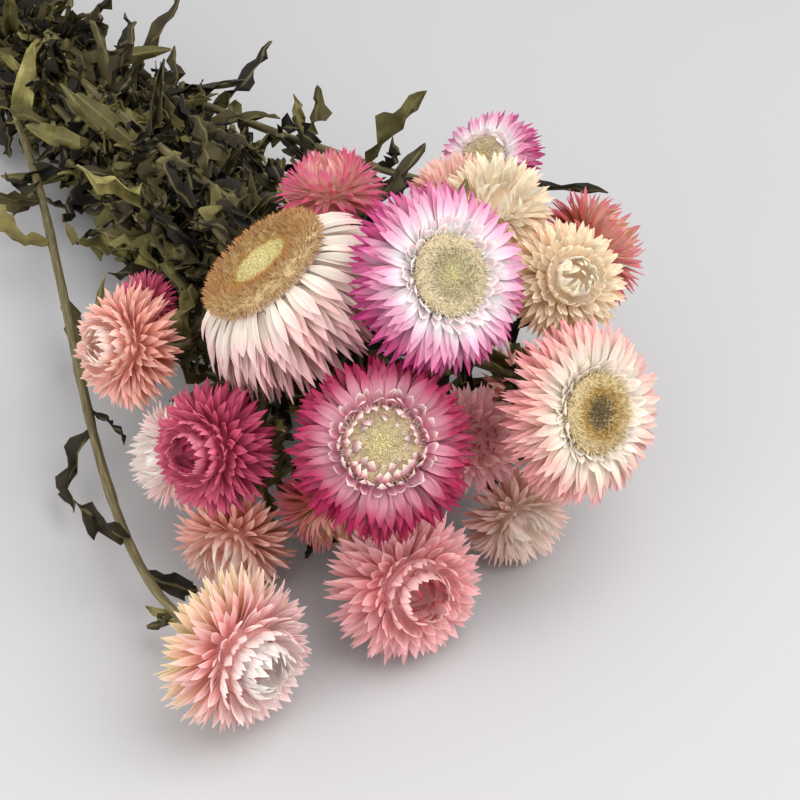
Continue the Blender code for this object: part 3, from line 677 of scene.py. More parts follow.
def settle_stems(first, clouds):
    """Pushes the fanned stretches apart from each other, from the heads and up off the table."""
    stems, count, _ = first.shape
    weights = sampling(count)
    samples = len(weights)
    shared = 2 * weights.T / weights.sum(axis=0)[:, None]
    free = np.zeros(count)
    free[PINNED_AT_TIE : count - PINNED_AT_HEAD] = 1.0
    stem = np.repeat(np.arange(stems), samples)
    place = np.tile(np.arange(samples), stems)
    past_tie = np.clip(place / SAMPLES_PER_POINT - 2, 0, 1)
    apart = IN_TIE_APART + past_tie * (STEMS_APART - IN_TIE_APART)
    apart = np.where(stem[:, None] != stem[None], np.minimum(apart[:, None], apart[None]), 0)
    cloud = np.concatenate([np.array(points) for points in clouds])
    head = np.repeat(np.arange(len(clouds)), [len(points) for points in clouds])
    in_core = cloud[:, 3] > STEM_RADIUS + HEAD_TO_STEM + GAP
    at_seat = (place >= samples - NEAR_SEAT * SAMPLES_PER_POINT)[:, None] | in_core
    clear = np.where(at_seat & (stem[:, None] == head[None]), 0, cloud[:, 3])
    paths = first
    for _ in range(SETTLING_ROUNDS):
        line = (weights @ paths).reshape(-1, 3)
        push = STEM_PUSH * pushed_off(line, line, apart)
        push += HEAD_PUSH * pushed_off(line, cloud[:, :3], clear)
        push[:, 2] += np.maximum(OFF_TABLE - line[:, 2], 0)
        length = np.linalg.norm(push, axis=1, keepdims=True)
        push *= np.minimum(1, LONGEST_PUSH / np.maximum(length, TINY))
        moved = np.einsum("cs,isk->ick", shared, push.reshape(stems, samples, 3))
        paths = paths + moved * free[None, :, None]
        shift = paths - first
        uneven = (shift[:, :-2] + shift[:, 2:]) / 2 - shift[:, 1:-1]
        paths[:, 1:-1] += EVENING * uneven * free[None, 1:-1, None]
    return paths


def stem_mesh(path):
    """A closed tube along a path, narrower at the neck, turned as little as the path allows."""
    path = [Vector(p) for p in path]
    points = []
    across = None
    for k, centre in enumerate(path):
        heading = (path[min(k + 1, len(path) - 1)] - path[max(k - 1, 0)]).normalized()
        across = across or heading.orthogonal()
        across = (across - heading * across.dot(heading)).normalized()
        other = heading.cross(across)
        radius = STEM_RADIUS if k < len(path) - NECK_POINTS else NECK_RADIUS
        points += [centre + across * x + other * y for x, y, _ in ring(STEM_SIDES, radius, 0)]
    return points, skin(numbered(len(path), STEM_SIDES))


def leaf_spine(leaf):
    """A leaf's midrib at its stations: the point, the direction of half its width, the normal."""
    point, heading, normal = leaf["root"], leaf["heading"].normalized(), leaf["normal"].normalized()
    spine = [(point, heading.cross(normal).normalized(), normal)]
    for k in range(1, len(LEAF_STATIONS)):
        stretch = LEAF_STATIONS[k] - LEAF_STATIONS[k - 1]
        bend = Matrix.Rotation(leaf["curl"] * stretch, 3, heading.cross(normal))
        roll = Matrix.Rotation(leaf["twist"] * stretch, 3, heading)
        heading = (bend @ heading).normalized()
        normal = (roll @ (bend @ normal)).normalized()
        point = point + heading * leaf["length"] * stretch
        spine.append((point, heading.cross(normal).normalized(), normal))
    return spine


def leaf_mesh(leaf, fatten=0.0):
    """A plain leaf, as in the solids: a thin lance-shaped blade with a keel and waved edges."""
    points, faces, stations = [leaf["root"]], [], [(0,)]
    for k, (point, side, normal) in enumerate(leaf_spine(leaf)[1:], 1):
        if not LEAF_OUTLINE[k]:
            stations.append((len(points),))
            points.append(point)
            continue
        half = side * (LEAF_OUTLINE[k] * leaf["width"] / 2 + fatten)
        depth = (LEAF_THICKNESS + LEAF_KEEL * leaf["width"]) / 2 + fatten
        wave = leaf["wave"] * leaf["width"] * (1 if k % 2 else -1)
        stations.append(tuple(range(len(points), len(points) + LEAF_CORNERS)))
        points.append(point - half + normal * (depth + wave))
        points.append(point + half + normal * (depth - wave))
        points.append(point - normal * depth)
    for near, far in zip(stations, stations[1:]):
        for k in range(LEAF_CORNERS):
            after = (k + 1) % LEAF_CORNERS
            if len(near) == 1:
                faces.append((near[0], far[after], far[k]))
            elif len(far) == 1:
                faces.append((near[k], near[after], far[0]))
            else:
                faces.append((near[k], near[after], far[after]))
                faces.append((near[k], far[after], far[k]))
    return points, faces


def crosses_itself(points, faces):
    """Tells whether faces that share no corner cut one another."""
    tree = tree_of(points, faces)
    return any(not set(faces[i]) & set(faces[j]) for i, j in tree.overlap(tree))


def curls_back(blade, stem_tree):
    """Whether a leaf meets its own stem past the stretch that springs from it."""
    return any(face >= LEAF_CORNERS for face, _ in tree_of(*blade).overlap(stem_tree))


def spot_on(path, share):
    """A point on the leafy stretch of a stem, as a share of its length, and the stem's way there."""
    path = [Vector(p) for p in path[2:]]
    lengths = [(b - a).length for a, b in zip(path, path[1:])]
    left = LEAVES_FROM_TIE + (sum(lengths) - LEAVES_FROM_TIE - LEAVES_FROM_HEAD) * share
    for a, b, length in zip(path, path[1:], lengths):
        if left <= length:
            break
        left -= length
    forward = (b - a).normalized()
    return a + forward * left, forward


def drawn_leaf(rng, path, number, turn, attempt):
    """A leaf to try: each new attempt is a little smaller and springs from another side."""
    root, forward = spot_on(path, (turn + rng.uniform(*LEAF_STRAY)) / LEAVES_PER_STEM)
    angle = number + (turn + attempt) * GOLDEN_TURN
    out = Matrix.Rotation(angle, 3, forward) @ forward.orthogonal().normalized()
    heading = forward * rng.uniform(*LEAF_FORWARD) + out * rng.uniform(*LEAF_OUTWARD)
    shrink = 1 - LEAF_SHRINK * attempt / LEAF_TRIES
    return {
        "root": root,
        "heading": heading,
        "normal": forward - heading * forward.dot(heading) / heading.length_squared,
        "length": rng.uniform(*LEAF_LENGTHS) * shrink,
        "width": rng.uniform(*LEAF_WIDTHS) * shrink,
        "curl": rng.uniform(-LEAF_CURL, LEAF_CURL),
        "twist": rng.uniform(-LEAF_TWIST, LEAF_TWIST),
        "wave": rng.uniform(*LEAF_WAVES),
    }


def place_leaves(paths, solids):
    """The leaves of each stem, bent clear of every other stem, head and leaf, and of the table."""
    trees = [tree_of(*solid) for solid in solids]
    own_trees = trees[: len(paths)]
    placed = [[] for _ in paths]
    for turn in range(LEAVES_PER_STEM):
        for number, path in enumerate(paths):
            rng = random.Random(f"leaf {number} {turn}")
            others = [tree for tree in trees if tree is not own_trees[number]]
            for attempt in range(LEAF_TRIES):
                leaf = drawn_leaf(rng, path, number, turn, attempt)
                blade = leaf_mesh(leaf)
                points, faces = leaf_mesh(leaf, fatten=LEAF_CLEARANCE)
                grown = tree_of(points, faces)
                if min(p.z for p in points) < GAP or crosses_itself(*blade):
                    continue
                if curls_back(blade, own_trees[number]):
                    continue
                if any(grown.overlap(other) for other in others):
                    continue
                placed[number].append(leaf)
                trees.append(grown)
                break
    return placed


def tie_mesh():
    """Four turns of twine as one ring round the bundle, with a rounded ridge for each turn."""
    hold = max(math.hypot(*slot) for slot in stem_slots()) + STEM_RADIUS + GAP
    half = TWINE_TURNS * TWINE_RADIUS
    outline = [(hold, -half)]
    for turn in range(TWINE_TURNS):
        middle = (2 * turn + 1) * TWINE_RADIUS - half
        for share, height in TWINE_RIDGE:
            outline.append((hold + height * TWINE_RADIUS, middle + share * TWINE_RADIUS))
    outline[-1] = (hold, half)
    along, side, lift = bundle_axes()
    points = []
    for radius, reach in outline:
        circle = ring(TIE_SEGMENTS, radius, 0)
        points += [TIE_CENTRE + along * reach + side * x + lift * y for x, y, _ in circle]
    return points, skin(numbered(len(outline), TIE_SEGMENTS), closed=True)


def between(pairs, share):
    """A pair on the broken line through the pairs, at a share of its number of steps."""
    place = share * (len(pairs) - 1)
    k = min(int(place), len(pairs) - 2)
    return tuple(a + (b - a) * (place - k) for a, b in zip(pairs[k], pairs[k + 1]))


def eased(values, places):
    """Values along a smooth line through the given ones; a place counts them from nought."""
    values = np.asarray(values, float)
    padded = np.concatenate([2 * values[:1] - values[1:2], values, 2 * values[-1:] - values[-2:-1]])
    k = np.clip(np.floor(places).astype(int), 0, len(values) - 2)
    t = (places - k)[:, None]
    a, b, c, d = (padded[k + step] for step in range(4))
    return b + 0.5 * t * (c - a + t * (2 * a - 5 * b + 4 * c - d + t * (3 * (b - c) + d - a)))


def grid_faces(count, rows, columns):
    """Faces of a number of like grids of points, numbered one grid after the other."""
    corner = np.arange(rows * columns).reshape(rows, columns)
    quads = np.stack([corner[:-1, :-1], corner[:-1, 1:], corner[1:, 1:], corner[1:, :-1]], axis=-1)
    starts = np.arange(count)[:, None, None] * rows * columns
    return (quads.reshape(1, -1, 4) + starts).reshape(-1, 4)


def two_sided(points, thickness):
    """Grids of points as thin closed blades: the points of both sides, and all their faces."""
    rows, columns = points.shape[-3:-1]
    normal = np.cross(np.gradient(points, axis=-3), np.gradient(points, axis=-2))
    normal /= np.linalg.norm(normal, axis=-1, keepdims=True) + 1e-9
    shift = (normal * thickness / 2).reshape(-1, 3)
    flat = points.reshape(-1, 3)
    grids = len(flat) // (rows * columns)
    upper = grid_faces(grids, rows, columns)
    lower = upper[:, ::-1] + len(flat)
    corner = np.arange(rows * columns).reshape(rows, columns)
    border = np.concatenate([corner[0, :-1], corner[:-1, -1], corner[-1, :0:-1], corner[:0:-1, 0]])
    after = np.roll(border, -1)
    rim = np.stack([after, after + len(flat), border + len(flat), border], axis=-1)
    rim = (rim[None] + (np.arange(grids) * rows * columns)[:, None, None]).reshape(-1, 4)
    return np.concatenate([flat - shift, flat + shift]), np.concatenate([upper, lower, rim])


class Sheaf:
    """Points, faces, materials' numbers and named values of one piece, gathered bit by bit."""

    def __init__(self, values):
        self.points, self.faces, self.finishes, self.total = [], [], [], 0
        self.values = {name: [] for name in values}

    def add(self, points, faces, finish=0, **values):
        points = np.asarray(points, float).reshape(-1, 3)
        faces = [tuple(int(corner) + self.total for corner in face) for face in faces]
        self.points.append(points)
        self.faces.extend(faces)
        self.finishes.extend([finish] * len(faces))
        for name, stored in self.values.items():
            value = np.asarray(values[name], float)
            stored.append(np.broadcast_to(value, (len(points), 3)))
        self.total += len(points)

    def piece(self, name, materials):
        """The gathered mesh as an object in the bunch's frame, with its hard edges kept sharp."""
        mesh = bpy.data.meshes.new(name)
        mesh.from_pydata((np.concatenate(self.points) * MM).tolist(), [], self.faces)
        for value, stored in self.values.items():
            made = mesh.attributes.new(value, "FLOAT_VECTOR", "POINT")
            made.data.foreach_set("vector", np.concatenate(stored).astype(np.float32).ravel())
        for material in materials:
            mesh.materials.append(material)
        mesh.polygons.foreach_set("material_index", self.finishes)
        mesh.shade_smooth()
        bm = bmesh.new()
        bm.from_mesh(mesh)
        for edge in bm.edges:
            edge.smooth = edge.calc_face_angle(0) < SHARP
        bm.to_mesh(mesh)
        bm.free()
        obj = bpy.data.objects.new(name, mesh)
        bpy.context.scene.collection.objects.link(obj)
        return obj


def dress(piece, node):
    """Puts a finer piece in the place of its solid."""
    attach(piece, "root")
    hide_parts(node)


def lathe(outline, segments):
    """A closed turned form from pairs of radius and height, the first and last on the axis."""
    points = [(0, 0, outline[0][1])]
    for radius, height in outline[1:-1]:
        points += ring(segments, radius, height)
    points.append((0, 0, outline[-1][1]))
    last = len(points) - 1
    faces = []
    for k in range(segments):
        after = (k + 1) % segments
        faces.append((0, 1 + after, 1 + k))
        for number in range(len(outline) - 3):
            near, far = 1 + number * segments, 1 + (number + 1) * segments
            faces.append((near + k, near + after, far + after, far + k))
        top = 1 + (len(outline) - 3) * segments
        faces.append((top + k, top + after, last))
    return points, faces


def bract_layers(head):
    """Layers from the stem to the middle: base, tip, how far inward, bracts, and whether it is
    the heart."""
    fine = FINE_KINDS[head.kind_name]
    rows = head.kind["rows"]
    bases = [row[0] for row in rows] + [head.kind["rim"]]
    tips = [row[2] for row in rows]
    count = LAYERS_PER_ROW * len(rows)
    layers = [(*UNDER_SCALES, 0.0, fine["bracts"] // 2, 0)]
    for number in range(count):
        inward = number / (count - 1)
        base = between(bases, (number + 0.5) / count)
        layers.append((base, between(tips, inward), inward, fine["bracts"], 0))
    closing = fine["closing"] + HEARTS.get(head.name, ())
    return layers + [(base, tip, 1.0, few, 1) for base, tip, few in closing]


def layer_of_bracts(rng, head, base, tip, count, phase, columns):
    """The points of one layer's bracts in the head's frame: bract, station, column, axis."""
    shares, widths = np.array(BRACT_STATIONS), np.array(BRACT_WIDTHS)
    angle = (np.arange(count) + phase + rng.uniform(-ANGLE_STRAY, ANGLE_STRAY, count)) * math.tau / count
    start = np.array(base) * head.radius
    chord = (np.array(tip) * head.radius - start) * rng.uniform(*LENGTH_STRAY, (count, 1))
    chord[:, 1] += rng.uniform(-TIP_STRAY, TIP_STRAY, count) * head.radius
    length = np.linalg.norm(chord, axis=1)
    rise = np.arctan2(chord[:, 1], chord[:, 0])
    upright = np.clip(rise / UPRIGHT, 0, 1)
    bulge = FLAT_BULGE + (UPRIGHT_BULGE - FLAT_BULGE) * upright + rng.uniform(-0.05, 0.05, count)
    upper = np.stack([-np.sin(rise), np.cos(rise)], axis=1) * (bulge * length)[:, None]
    arch, slope = 4 * shares * (1 - shares), 4 * (1 - 2 * shares)
    line = start + chord[:, None] * shares[:, None] + upper[:, None] * arch[:, None]
    heading = chord[:, None] + upper[:, None] * slope[:, None]
    heading /= np.linalg.norm(heading, axis=2, keepdims=True)
    out = np.stack([np.cos(angle), np.sin(angle), 0 * angle], axis=1)[:, None]
    side = np.stack([-np.sin(angle), np.cos(angle), 0 * angle], axis=1)[:, None]
    axis = np.array([0, 0, 1.0])
    sway = rng.uniform(-SWAY, SWAY, count)[:, None] * length[:, None] * shares**2
    middle = out * line[..., :1] + axis * line[..., 1:] + side * sway[..., None]
    normal = axis * heading[..., :1] - out * heading[..., 1:]
    roll = rng.uniform(-ROLL, ROLL, count)[:, None, None] * (0.3 + 0.7 * shares)[:, None]
    across = side * np.cos(roll) + normal * np.sin(roll)
    normal = normal * np.cos(roll) - side * np.sin(roll)
    half = FINE_KINDS[head.kind_name]["width"] * head.radius / 2
    half = half * rng.uniform(*WIDTH_STRAY, (count, 1)) * widths
    place = np.linspace(-1, 1, columns)
    cup = rng.uniform(*CUP, count)[:, None, None] * half[..., None] * place**2
    shift = half[..., None] * place
    points = middle[:, :, None] + across[:, :, None] * shift[..., None] + normal[:, :, None] * cup[..., None]
    return points, shift


def world_points(head, points):
    """Points of a head's frame in the bunch's, as numpy arrays in millimetres."""
    return np.asarray(points) @ np.array(head.rotation()).T + np.array(head.seat)


def head_piece(head, thickness):
    """All the bracts of a head on their receptacle."""
    rng = np.random.default_rng([BRACT_SEED, int(head.name)])
    shares = np.array(BRACT_STATIONS)
    sheaf = Sheaf(("blade", "place"))
    for number, (base, tip, inward, count, heart) in enumerate(bract_layers(head)):
        points, across = layer_of_bracts(rng, head, base, tip, count, 0.5 * (number % 2), BRACT_COLUMNS)
        tone = rng.uniform(0, 1, count)[:, None, None] * np.ones(across.shape)
        along = shares[:, None] * np.ones(across.shape)
        points = world_points(head, points)
        points[..., 2] = np.maximum(points[..., 2], thickness + PRESSED_SPREAD * tone)
        both, faces = two_sided(points, thickness)
        blade = np.stack([along, across, tone], axis=-1).reshape(-1, 3)
        sheaf.add(both, faces, blade=np.tile(blade, (2, 1)), place=(inward, heart, 0))
    bed = [row[0] for row in head.kind["rows"]] + [head.kind["rim"]]
    outline = [(0, 0), *((r * 0.97, z) for r, z in bed), (0, head.kind["crown"] - 0.04)]
    points, faces = lathe([(r * head.radius, z * head.radius) for r, z in outline], 24)
    points = world_points(head, points)
    points[:, 2] = np.maximum(points[:, 2], thickness)
    sheaf.add(points, faces, blade=(0.1, 0, 0.5), place=(0.5, 0, 0))
    return sheaf


def florets_on(rng, bed, rim):
    """Roots, headings, lengths, thicknesses and places of the florets of a bed, rim in mm."""
    profile = np.array(bed["profile"]) * rim
    steps = np.linspace(0, len(profile) - 1, 200)
    line = eased(profile, steps)
    line[:, 0] = np.maximum(line[:, 0], 0)
    spans = np.linalg.norm(np.diff(line, axis=0), axis=1)
    way = np.concatenate([[0], np.cumsum(spans)]) / spans.sum()
    found = []
    for start, stop, count, length, thick, lean in bed["zones"]:
        inside = np.linspace(start, stop, 100)
        radius = np.interp(inside, way, line[:, 0])
        weight = np.cumsum(radius + 0.02 * rim)
        picked = np.interp((np.arange(count) + 0.5) / count * weight[-1], weight, inside)
        lengths, widths = np.full(count, length * rim), np.full(count, thick * rim)
        found.append((picked, lengths, widths, np.full(count, lean)))
    place, length, thick, lean = (np.concatenate(parts) for parts in zip(*found))
    angle = np.arange(len(place)) * GOLDEN_ANGLE + rng.uniform(-0.2, 0.2, len(place))
    radius, height = (np.interp(place, way, line[:, k]) for k in range(2))
    ahead, behind = (np.clip(place + step, 0, 1) for step in (0.01, -0.01))
    run = np.interp(ahead, way, line[:, 0]) - np.interp(behind, way, line[:, 0])
    climb = np.interp(ahead, way, line[:, 1]) - np.interp(behind, way, line[:, 1])
    size = np.hypot(run, climb) + 1e-6
    out_part, up_part = climb / size - lean, -run / size
    jitter = rng.normal(0, FLORET_STRAY, (len(place), 3))
    out = np.stack([np.cos(angle), np.sin(angle), 0 * angle], axis=1)
    heading = out * out_part[:, None] + np.array([0, 0, 1.0]) * up_part[:, None] + jitter
    heading /= np.linalg.norm(heading, axis=1, keepdims=True)
    root = out * radius[:, None] + np.array([0, 0, 1.0]) * height[:, None]
    length = length * rng.uniform(0.7, 1.15, len(place))
    return root, heading, length, thick, place


def spikes(rng, root, heading, length, thick, place):
    """Each floret as a slim three-sided spike; the value holds share along it, place and tone."""
    count = len(root)
    other = np.cross(heading, rng.normal(0, 1, (count, 3)))
    other /= np.linalg.norm(other, axis=1, keepdims=True)
    third = np.cross(heading, other)
    sink = root - heading * thick[:, None]
    corners = []
    for share, level, width in ((0.0, sink, 1.0), (0.6, root + heading * (length * 0.6)[:, None], 0.75)):
        for k in range(3):
            turn = k * math.tau / 3
            around = other * math.cos(turn) + third * math.sin(turn)
            corners.append((share, level + around * (thick * width)[:, None]))
    corners.append((1.0, root + heading * length[:, None]))
    points = np.stack([corner for _, corner in corners], axis=1).reshape(-1, 3)
    shares = np.tile([share for share, _ in corners], count)
    tone = np.repeat(rng.uniform(0, 1, count), len(corners))
    values = np.stack([shares, np.repeat(place, len(corners)), tone], axis=1)
    pattern = [(0, 2, 1)]
    for k in range(3):
        after = (k + 1) % 3
        pattern += [(k, after, 3 + after, 3 + k), (3 + k, 3 + after, 6)]
    starts = np.arange(count) * len(corners)
    return points, [tuple(c + s for c in face) for s in starts for face in pattern], values


def button_piece(head):
    """The florets of an open head on their bed."""
    rng = np.random.default_rng([FLORET_SEED, int(head.name)])
    bed = FLORET_BEDS[head.kind["button"]]
    rim, height = head.scaled(head.kind["rim"])
    lift = np.array([0, 0, height + GAP])
    outline = [(0, 0), *((r * rim, z * rim) for r, z in bed["profile"])]
    points, faces = lathe(outline, 40)
    sheaf = Sheaf(("floret",))
    depth = np.linalg.norm(np.array(points)[:, :2], axis=1) / rim
    # The bed stands at nought along, so it is coloured with the painted shade of the florets' bases.
    values = np.stack([0 * depth, 1 - np.clip(depth, 0, 1), 0 * depth + 0.5], axis=1)
    sheaf.add(world_points(head, np.array(points) + lift), faces, floret=values)
    points, faces, values = spikes(rng, *florets_on(rng, bed, rim))
    sheaf.add(world_points(head, points + lift), faces, floret=values)
    return sheaf


def fine_tube(line, radii, sides, ridge=0.0):
    """A closed tube along a fine line, with a radius for each point and ridges along it."""
    across, points = None, []
    for k, centre in enumerate(line):
        heading = Vector(line[min(k + 1, len(line) - 1)] - line[max(k - 1, 0)]).normalized()
        across = across or heading.orthogonal()
        across = (across - heading * across.dot(heading)).normalized()
        other = heading.cross(across)
        for corner in range(sides):
            turn = corner * math.tau / sides
            reach = radii[k] * (1 + ridge * (1 if corner % 2 else -1))
            points.append(Vector(centre) + (across * math.cos(turn) + other * math.sin(turn)) * reach)
    faces = []
    for k in range(len(line) - 1):
        for corner in range(sides):
            after = (corner + 1) % sides
            near, far = k * sides, (k + 1) * sides
            faces.append((near + corner, near + after, far + after, far + corner))
    faces.append(tuple(range(sides))[::-1])
    faces.append(tuple(range(len(points) - sides, len(points))))
    return np.array(points), faces


def fine_stem(rng, path):
    """A dry stem on its path: finely ridged, with knots where leaves sprang and a wider seat."""
    places = np.linspace(0, len(path) - 1, STEM_STEPS)
    line = eased(path, places)
    share = places / places[-1]
    radii = (STEM_RADIUS, STEM_RADIUS * 0.95, NECK_RADIUS, NECK_RADIUS * 1.5)
    radii = np.interp(share, (0, 0.7, 0.93, 1), radii)
    for _ in range(STEM_KNOTS):
        radii += 0.25 * np.exp(-(((share - rng.uniform(0.2, 0.9)) / 0.008) ** 2))
    radii *= 1 + rng.uniform(-0.06, 0.06, len(radii))
    points, faces = fine_tube(line, radii, STEM_FINE_SIDES, STEM_RIDGE)
    along = np.repeat(np.cumsum(np.r_[0, np.linalg.norm(np.diff(line, axis=0), axis=1)]), STEM_FINE_SIDES)
    around = np.tile(np.arange(STEM_FINE_SIDES), len(line))
    values = np.stack([along, around, np.full(len(points), rng.uniform())], axis=1)
    return points, faces, values


def fine_leaf(rng, leaf):
    """One crumpled leaf on the midrib of the plain one: its points as a grid, and their values."""
    spine = leaf_spine(leaf)
    shares = np.linspace(0, 1, LEAF_ROWS)
    places = np.interp(shares, LEAF_STATIONS, np.arange(len(LEAF_STATIONS)))
    line, side, normal = (eased([station[k] for station in spine], places) for k in range(3))
    side /= np.linalg.norm(side, axis=1, keepdims=True)
    normal /= np.linalg.norm(normal, axis=1, keepdims=True)
    outline = np.sin(math.pi * np.clip(shares * 0.97 + 0.02, 0, 1) ** 0.85) ** 0.8
    half = (0.06 + 0.94 * outline) * leaf["width"] / 2 * rng.uniform(*LEAF_NARROWING)
    x = np.linspace(-1, 1, LEAF_COLUMNS)
    fold = rng.uniform(*LEAF_FOLD)
    waves, phases = rng.uniform(1.5, 3.5), rng.uniform(0, math.tau, 2)
    edge = np.where(x < 0, phases[0], phases[1])
    ripple = LEAF_RIPPLE * np.abs(x) ** 1.5 * np.sin(shares[:, None] * waves * math.tau + edge)
    height = half[:, None] * (fold * x**2 + ripple)
    bend = half[:, None] * x * np.cos(fold * 0.7 * x)
    points = line[:, None] + side[:, None] * bend[..., None] + normal[:, None] * height[..., None]
    seed = rng.uniform(0, 100)
    for row in range(LEAF_ROWS):
        for column in range(LEAF_COLUMNS):
            spot = Vector(points[row, column]) / CRUMPLE_SIZE + Vector((seed, 0, 0))
            bump = noise.noise(spot) * CRUMPLE_DEPTH * min(1, 4 * shares[row])
            points[row, column] += normal[row] * bump
    tone = np.full((LEAF_ROWS, LEAF_COLUMNS), rng.uniform())
    along = shares[:, None] * np.ones_like(tone)
    across = half[:, None] * x * np.ones_like(tone)
    return points, np.stack([along, across, tone], axis=-1).reshape(-1, 3)


def small_leaves(number, path, obstacles):
    """More, smaller leaves for a stem, drawn clear of the heads and the table."""
    leaves = []
    for turn in range(FEW_LEAVES.get(number, SMALL_LEAVES)):
        rng = random.Random(f"small leaf {number} {turn}")
        for _ in range(SMALL_LEAF_TRIES):
            root, forward = spot_on(path, rng.uniform(0, 1))
            out = Matrix.Rotation(rng.uniform(0, math.tau), 3, forward) @ forward.orthogonal().normalized()
            heading = forward * rng.uniform(0.2, 1.0) + out * rng.uniform(0.3, 1.0)
            leaf = {
                "root": root,
                "heading": heading,
                "normal": forward - heading * forward.dot(heading) / heading.length_squared,
                "length": rng.uniform(*SMALL_LEAF_LENGTHS),
                "width": rng.uniform(*SMALL_LEAF_WIDTHS),
                "curl": rng.uniform(-LEAF_CURL, LEAF_CURL) * 1.6,
                "twist": rng.uniform(-LEAF_TWIST, LEAF_TWIST) * 3,
                "wave": 0.0,
            }
            points, faces = leaf_mesh(leaf)
            if min(p.z for p in points) < TABLE_CLEARANCE:
                continue
            tree = tree_of(points, faces)
            if not any(tree.overlap(other) for other in obstacles):
                leaves.append(leaf)
                break
    return leaves


def stem_piece(number, path, leaves, thickness):
    """A stem with all its leaves."""
    rng = np.random.default_rng([LEAF_SEED, number])
    sheaf = Sheaf(("blade",))
    points, faces, values = fine_stem(rng, path)
    points[:, 2] = np.maximum(points[:, 2], 0.0)
    sheaf.add(points, faces, finish=1, blade=values)
    for leaf in leaves:
        points, values = fine_leaf(rng, leaf)
        points[..., 2] = np.maximum(points[..., 2], TABLE_CLEARANCE)
        both, faces = two_sided(points, thickness)
        sheaf.add(both, faces, blade=np.tile(values, (2, 1)))
    return sheaf


def tie_pieces():
    """The tie as twisted twine: turns round the bundle in one coil, a knot and two short ends."""
    along, side, lift = (np.array(axis) for axis in bundle_axes())
    hold = max(math.hypot(*slot) for slot in stem_slots()) + STEM_RADIUS + GAP + TWINE_RADIUS
    turns = np.linspace(0, TWINE_TURNS, TWINE_TURNS * TWINE_STEPS + 1)
    reach = (turns / TWINE_TURNS - 0.5) * 2 * TWINE_RADIUS * (TWINE_TURNS - 1)
    angle = turns * math.tau + KNOT_TURN
    out = side * np.cos(angle)[:, None] + lift * np.sin(angle)[:, None]
    coil = np.array(TIE_CENTRE) + along * reach[:, None] + out * hold
    knot_out = side * math.cos(KNOT_TURN) + lift * math.sin(KNOT_TURN)
    knot_side = np.cross(along, knot_out)
    place = np.array(TIE_CENTRE) + knot_out * (hold + 1.6 * TWINE_RADIUS)
    spin = np.linspace(0, math.tau, 33)
    loop = KNOT_SIZE * (2 + np.cos(3 * spin)) / 3
    knot = place + along * (loop * np.cos(2 * spin))[:, None] + knot_side * (loop * np.sin(2 * spin))[:, None]
    knot += knot_out * (0.45 * KNOT_SIZE * np.sin(3 * spin))[:, None]
    ends = []
    for way in (-1, 1):
        t = np.linspace(0, 1, 14)[:, None]
        end = place + knot_side * way * TWINE_END * t + along * way * 4 * t**2
        ends.append(end + knot_out * (3 * t - 9 * t**2 * (TWINE_END / 22) ** 2))
    return [coil, knot, *ends]


def twine_piece():
    """The turns of twine round the stems, with their knot and two ends."""
    sheaf = Sheaf(("blade",))
    for line in tie_pieces():
        lengths = np.r_[0, np.cumsum(np.linalg.norm(np.diff(line, axis=0), axis=1))]
        heading = np.gradient(line, axis=0)
        heading /= np.linalg.norm(heading, axis=1, keepdims=True)
        first = np.cross(heading, (0.3, 0.2, 0.93))
        first /= np.linalg.norm(first, axis=1, keepdims=True)
        second = np.cross(heading, first)
        for strand in range(TWINE_STRANDS):
            turn = lengths / TWINE_LAY * math.tau + strand * math.tau / TWINE_STRANDS
            shift = first * np.cos(turn)[:, None] + second * np.sin(turn)[:, None]
            strand_line = line + shift * TWINE_RADIUS * 0.5
            radii = np.full(len(line), TWINE_RADIUS * 0.55)
            points, faces = fine_tube(strand_line, radii, 7)
            along = np.repeat(lengths, 7)
            around = np.tile(np.arange(7), len(line))
            sheaf.add(points, faces, blade=np.stack([along, around, 0 * along + strand], axis=1))
    return sheaf


def linear(hex_value):
    """An sRGB hex colour as the linear one that a shader takes."""
    shares = [int(hex_value[k : k + 2], 16) / 255 for k in (0, 2, 4)]
    return [s / 12.92 if s <= 0.04045 else ((s + 0.055) / 1.055) ** 2.4 for s in shares]


def node(tree, kind, inputs=None, stops=None, **settings):
    """Adds a node with its settings, its input values or links, and a ramp's stops."""
    made = tree.nodes.new(kind)
    for name, value in settings.items():
        setattr(made, name, value)
    for socket, value in (inputs or {}).items():
        if isinstance(value, bpy.types.NodeSocket):
            tree.links.new(value, made.inputs[socket])
        else:
            made.inputs[socket].default_value = value
    if stops:
        elements = made.color_ramp.elements
        while len(elements) < len(stops):
            elements.new(0.5)
        for element, (colour, place) in zip(elements, stops):
            element.position = place
            element.color = (*colour, 1)
    return made


def blank(name):
    """A new material with its tree and its Principled shader."""
    material = bpy.data.materials.new(name)
    material.use_nodes = True
    return material, material.node_tree, material.node_tree.nodes["Principled BSDF"]


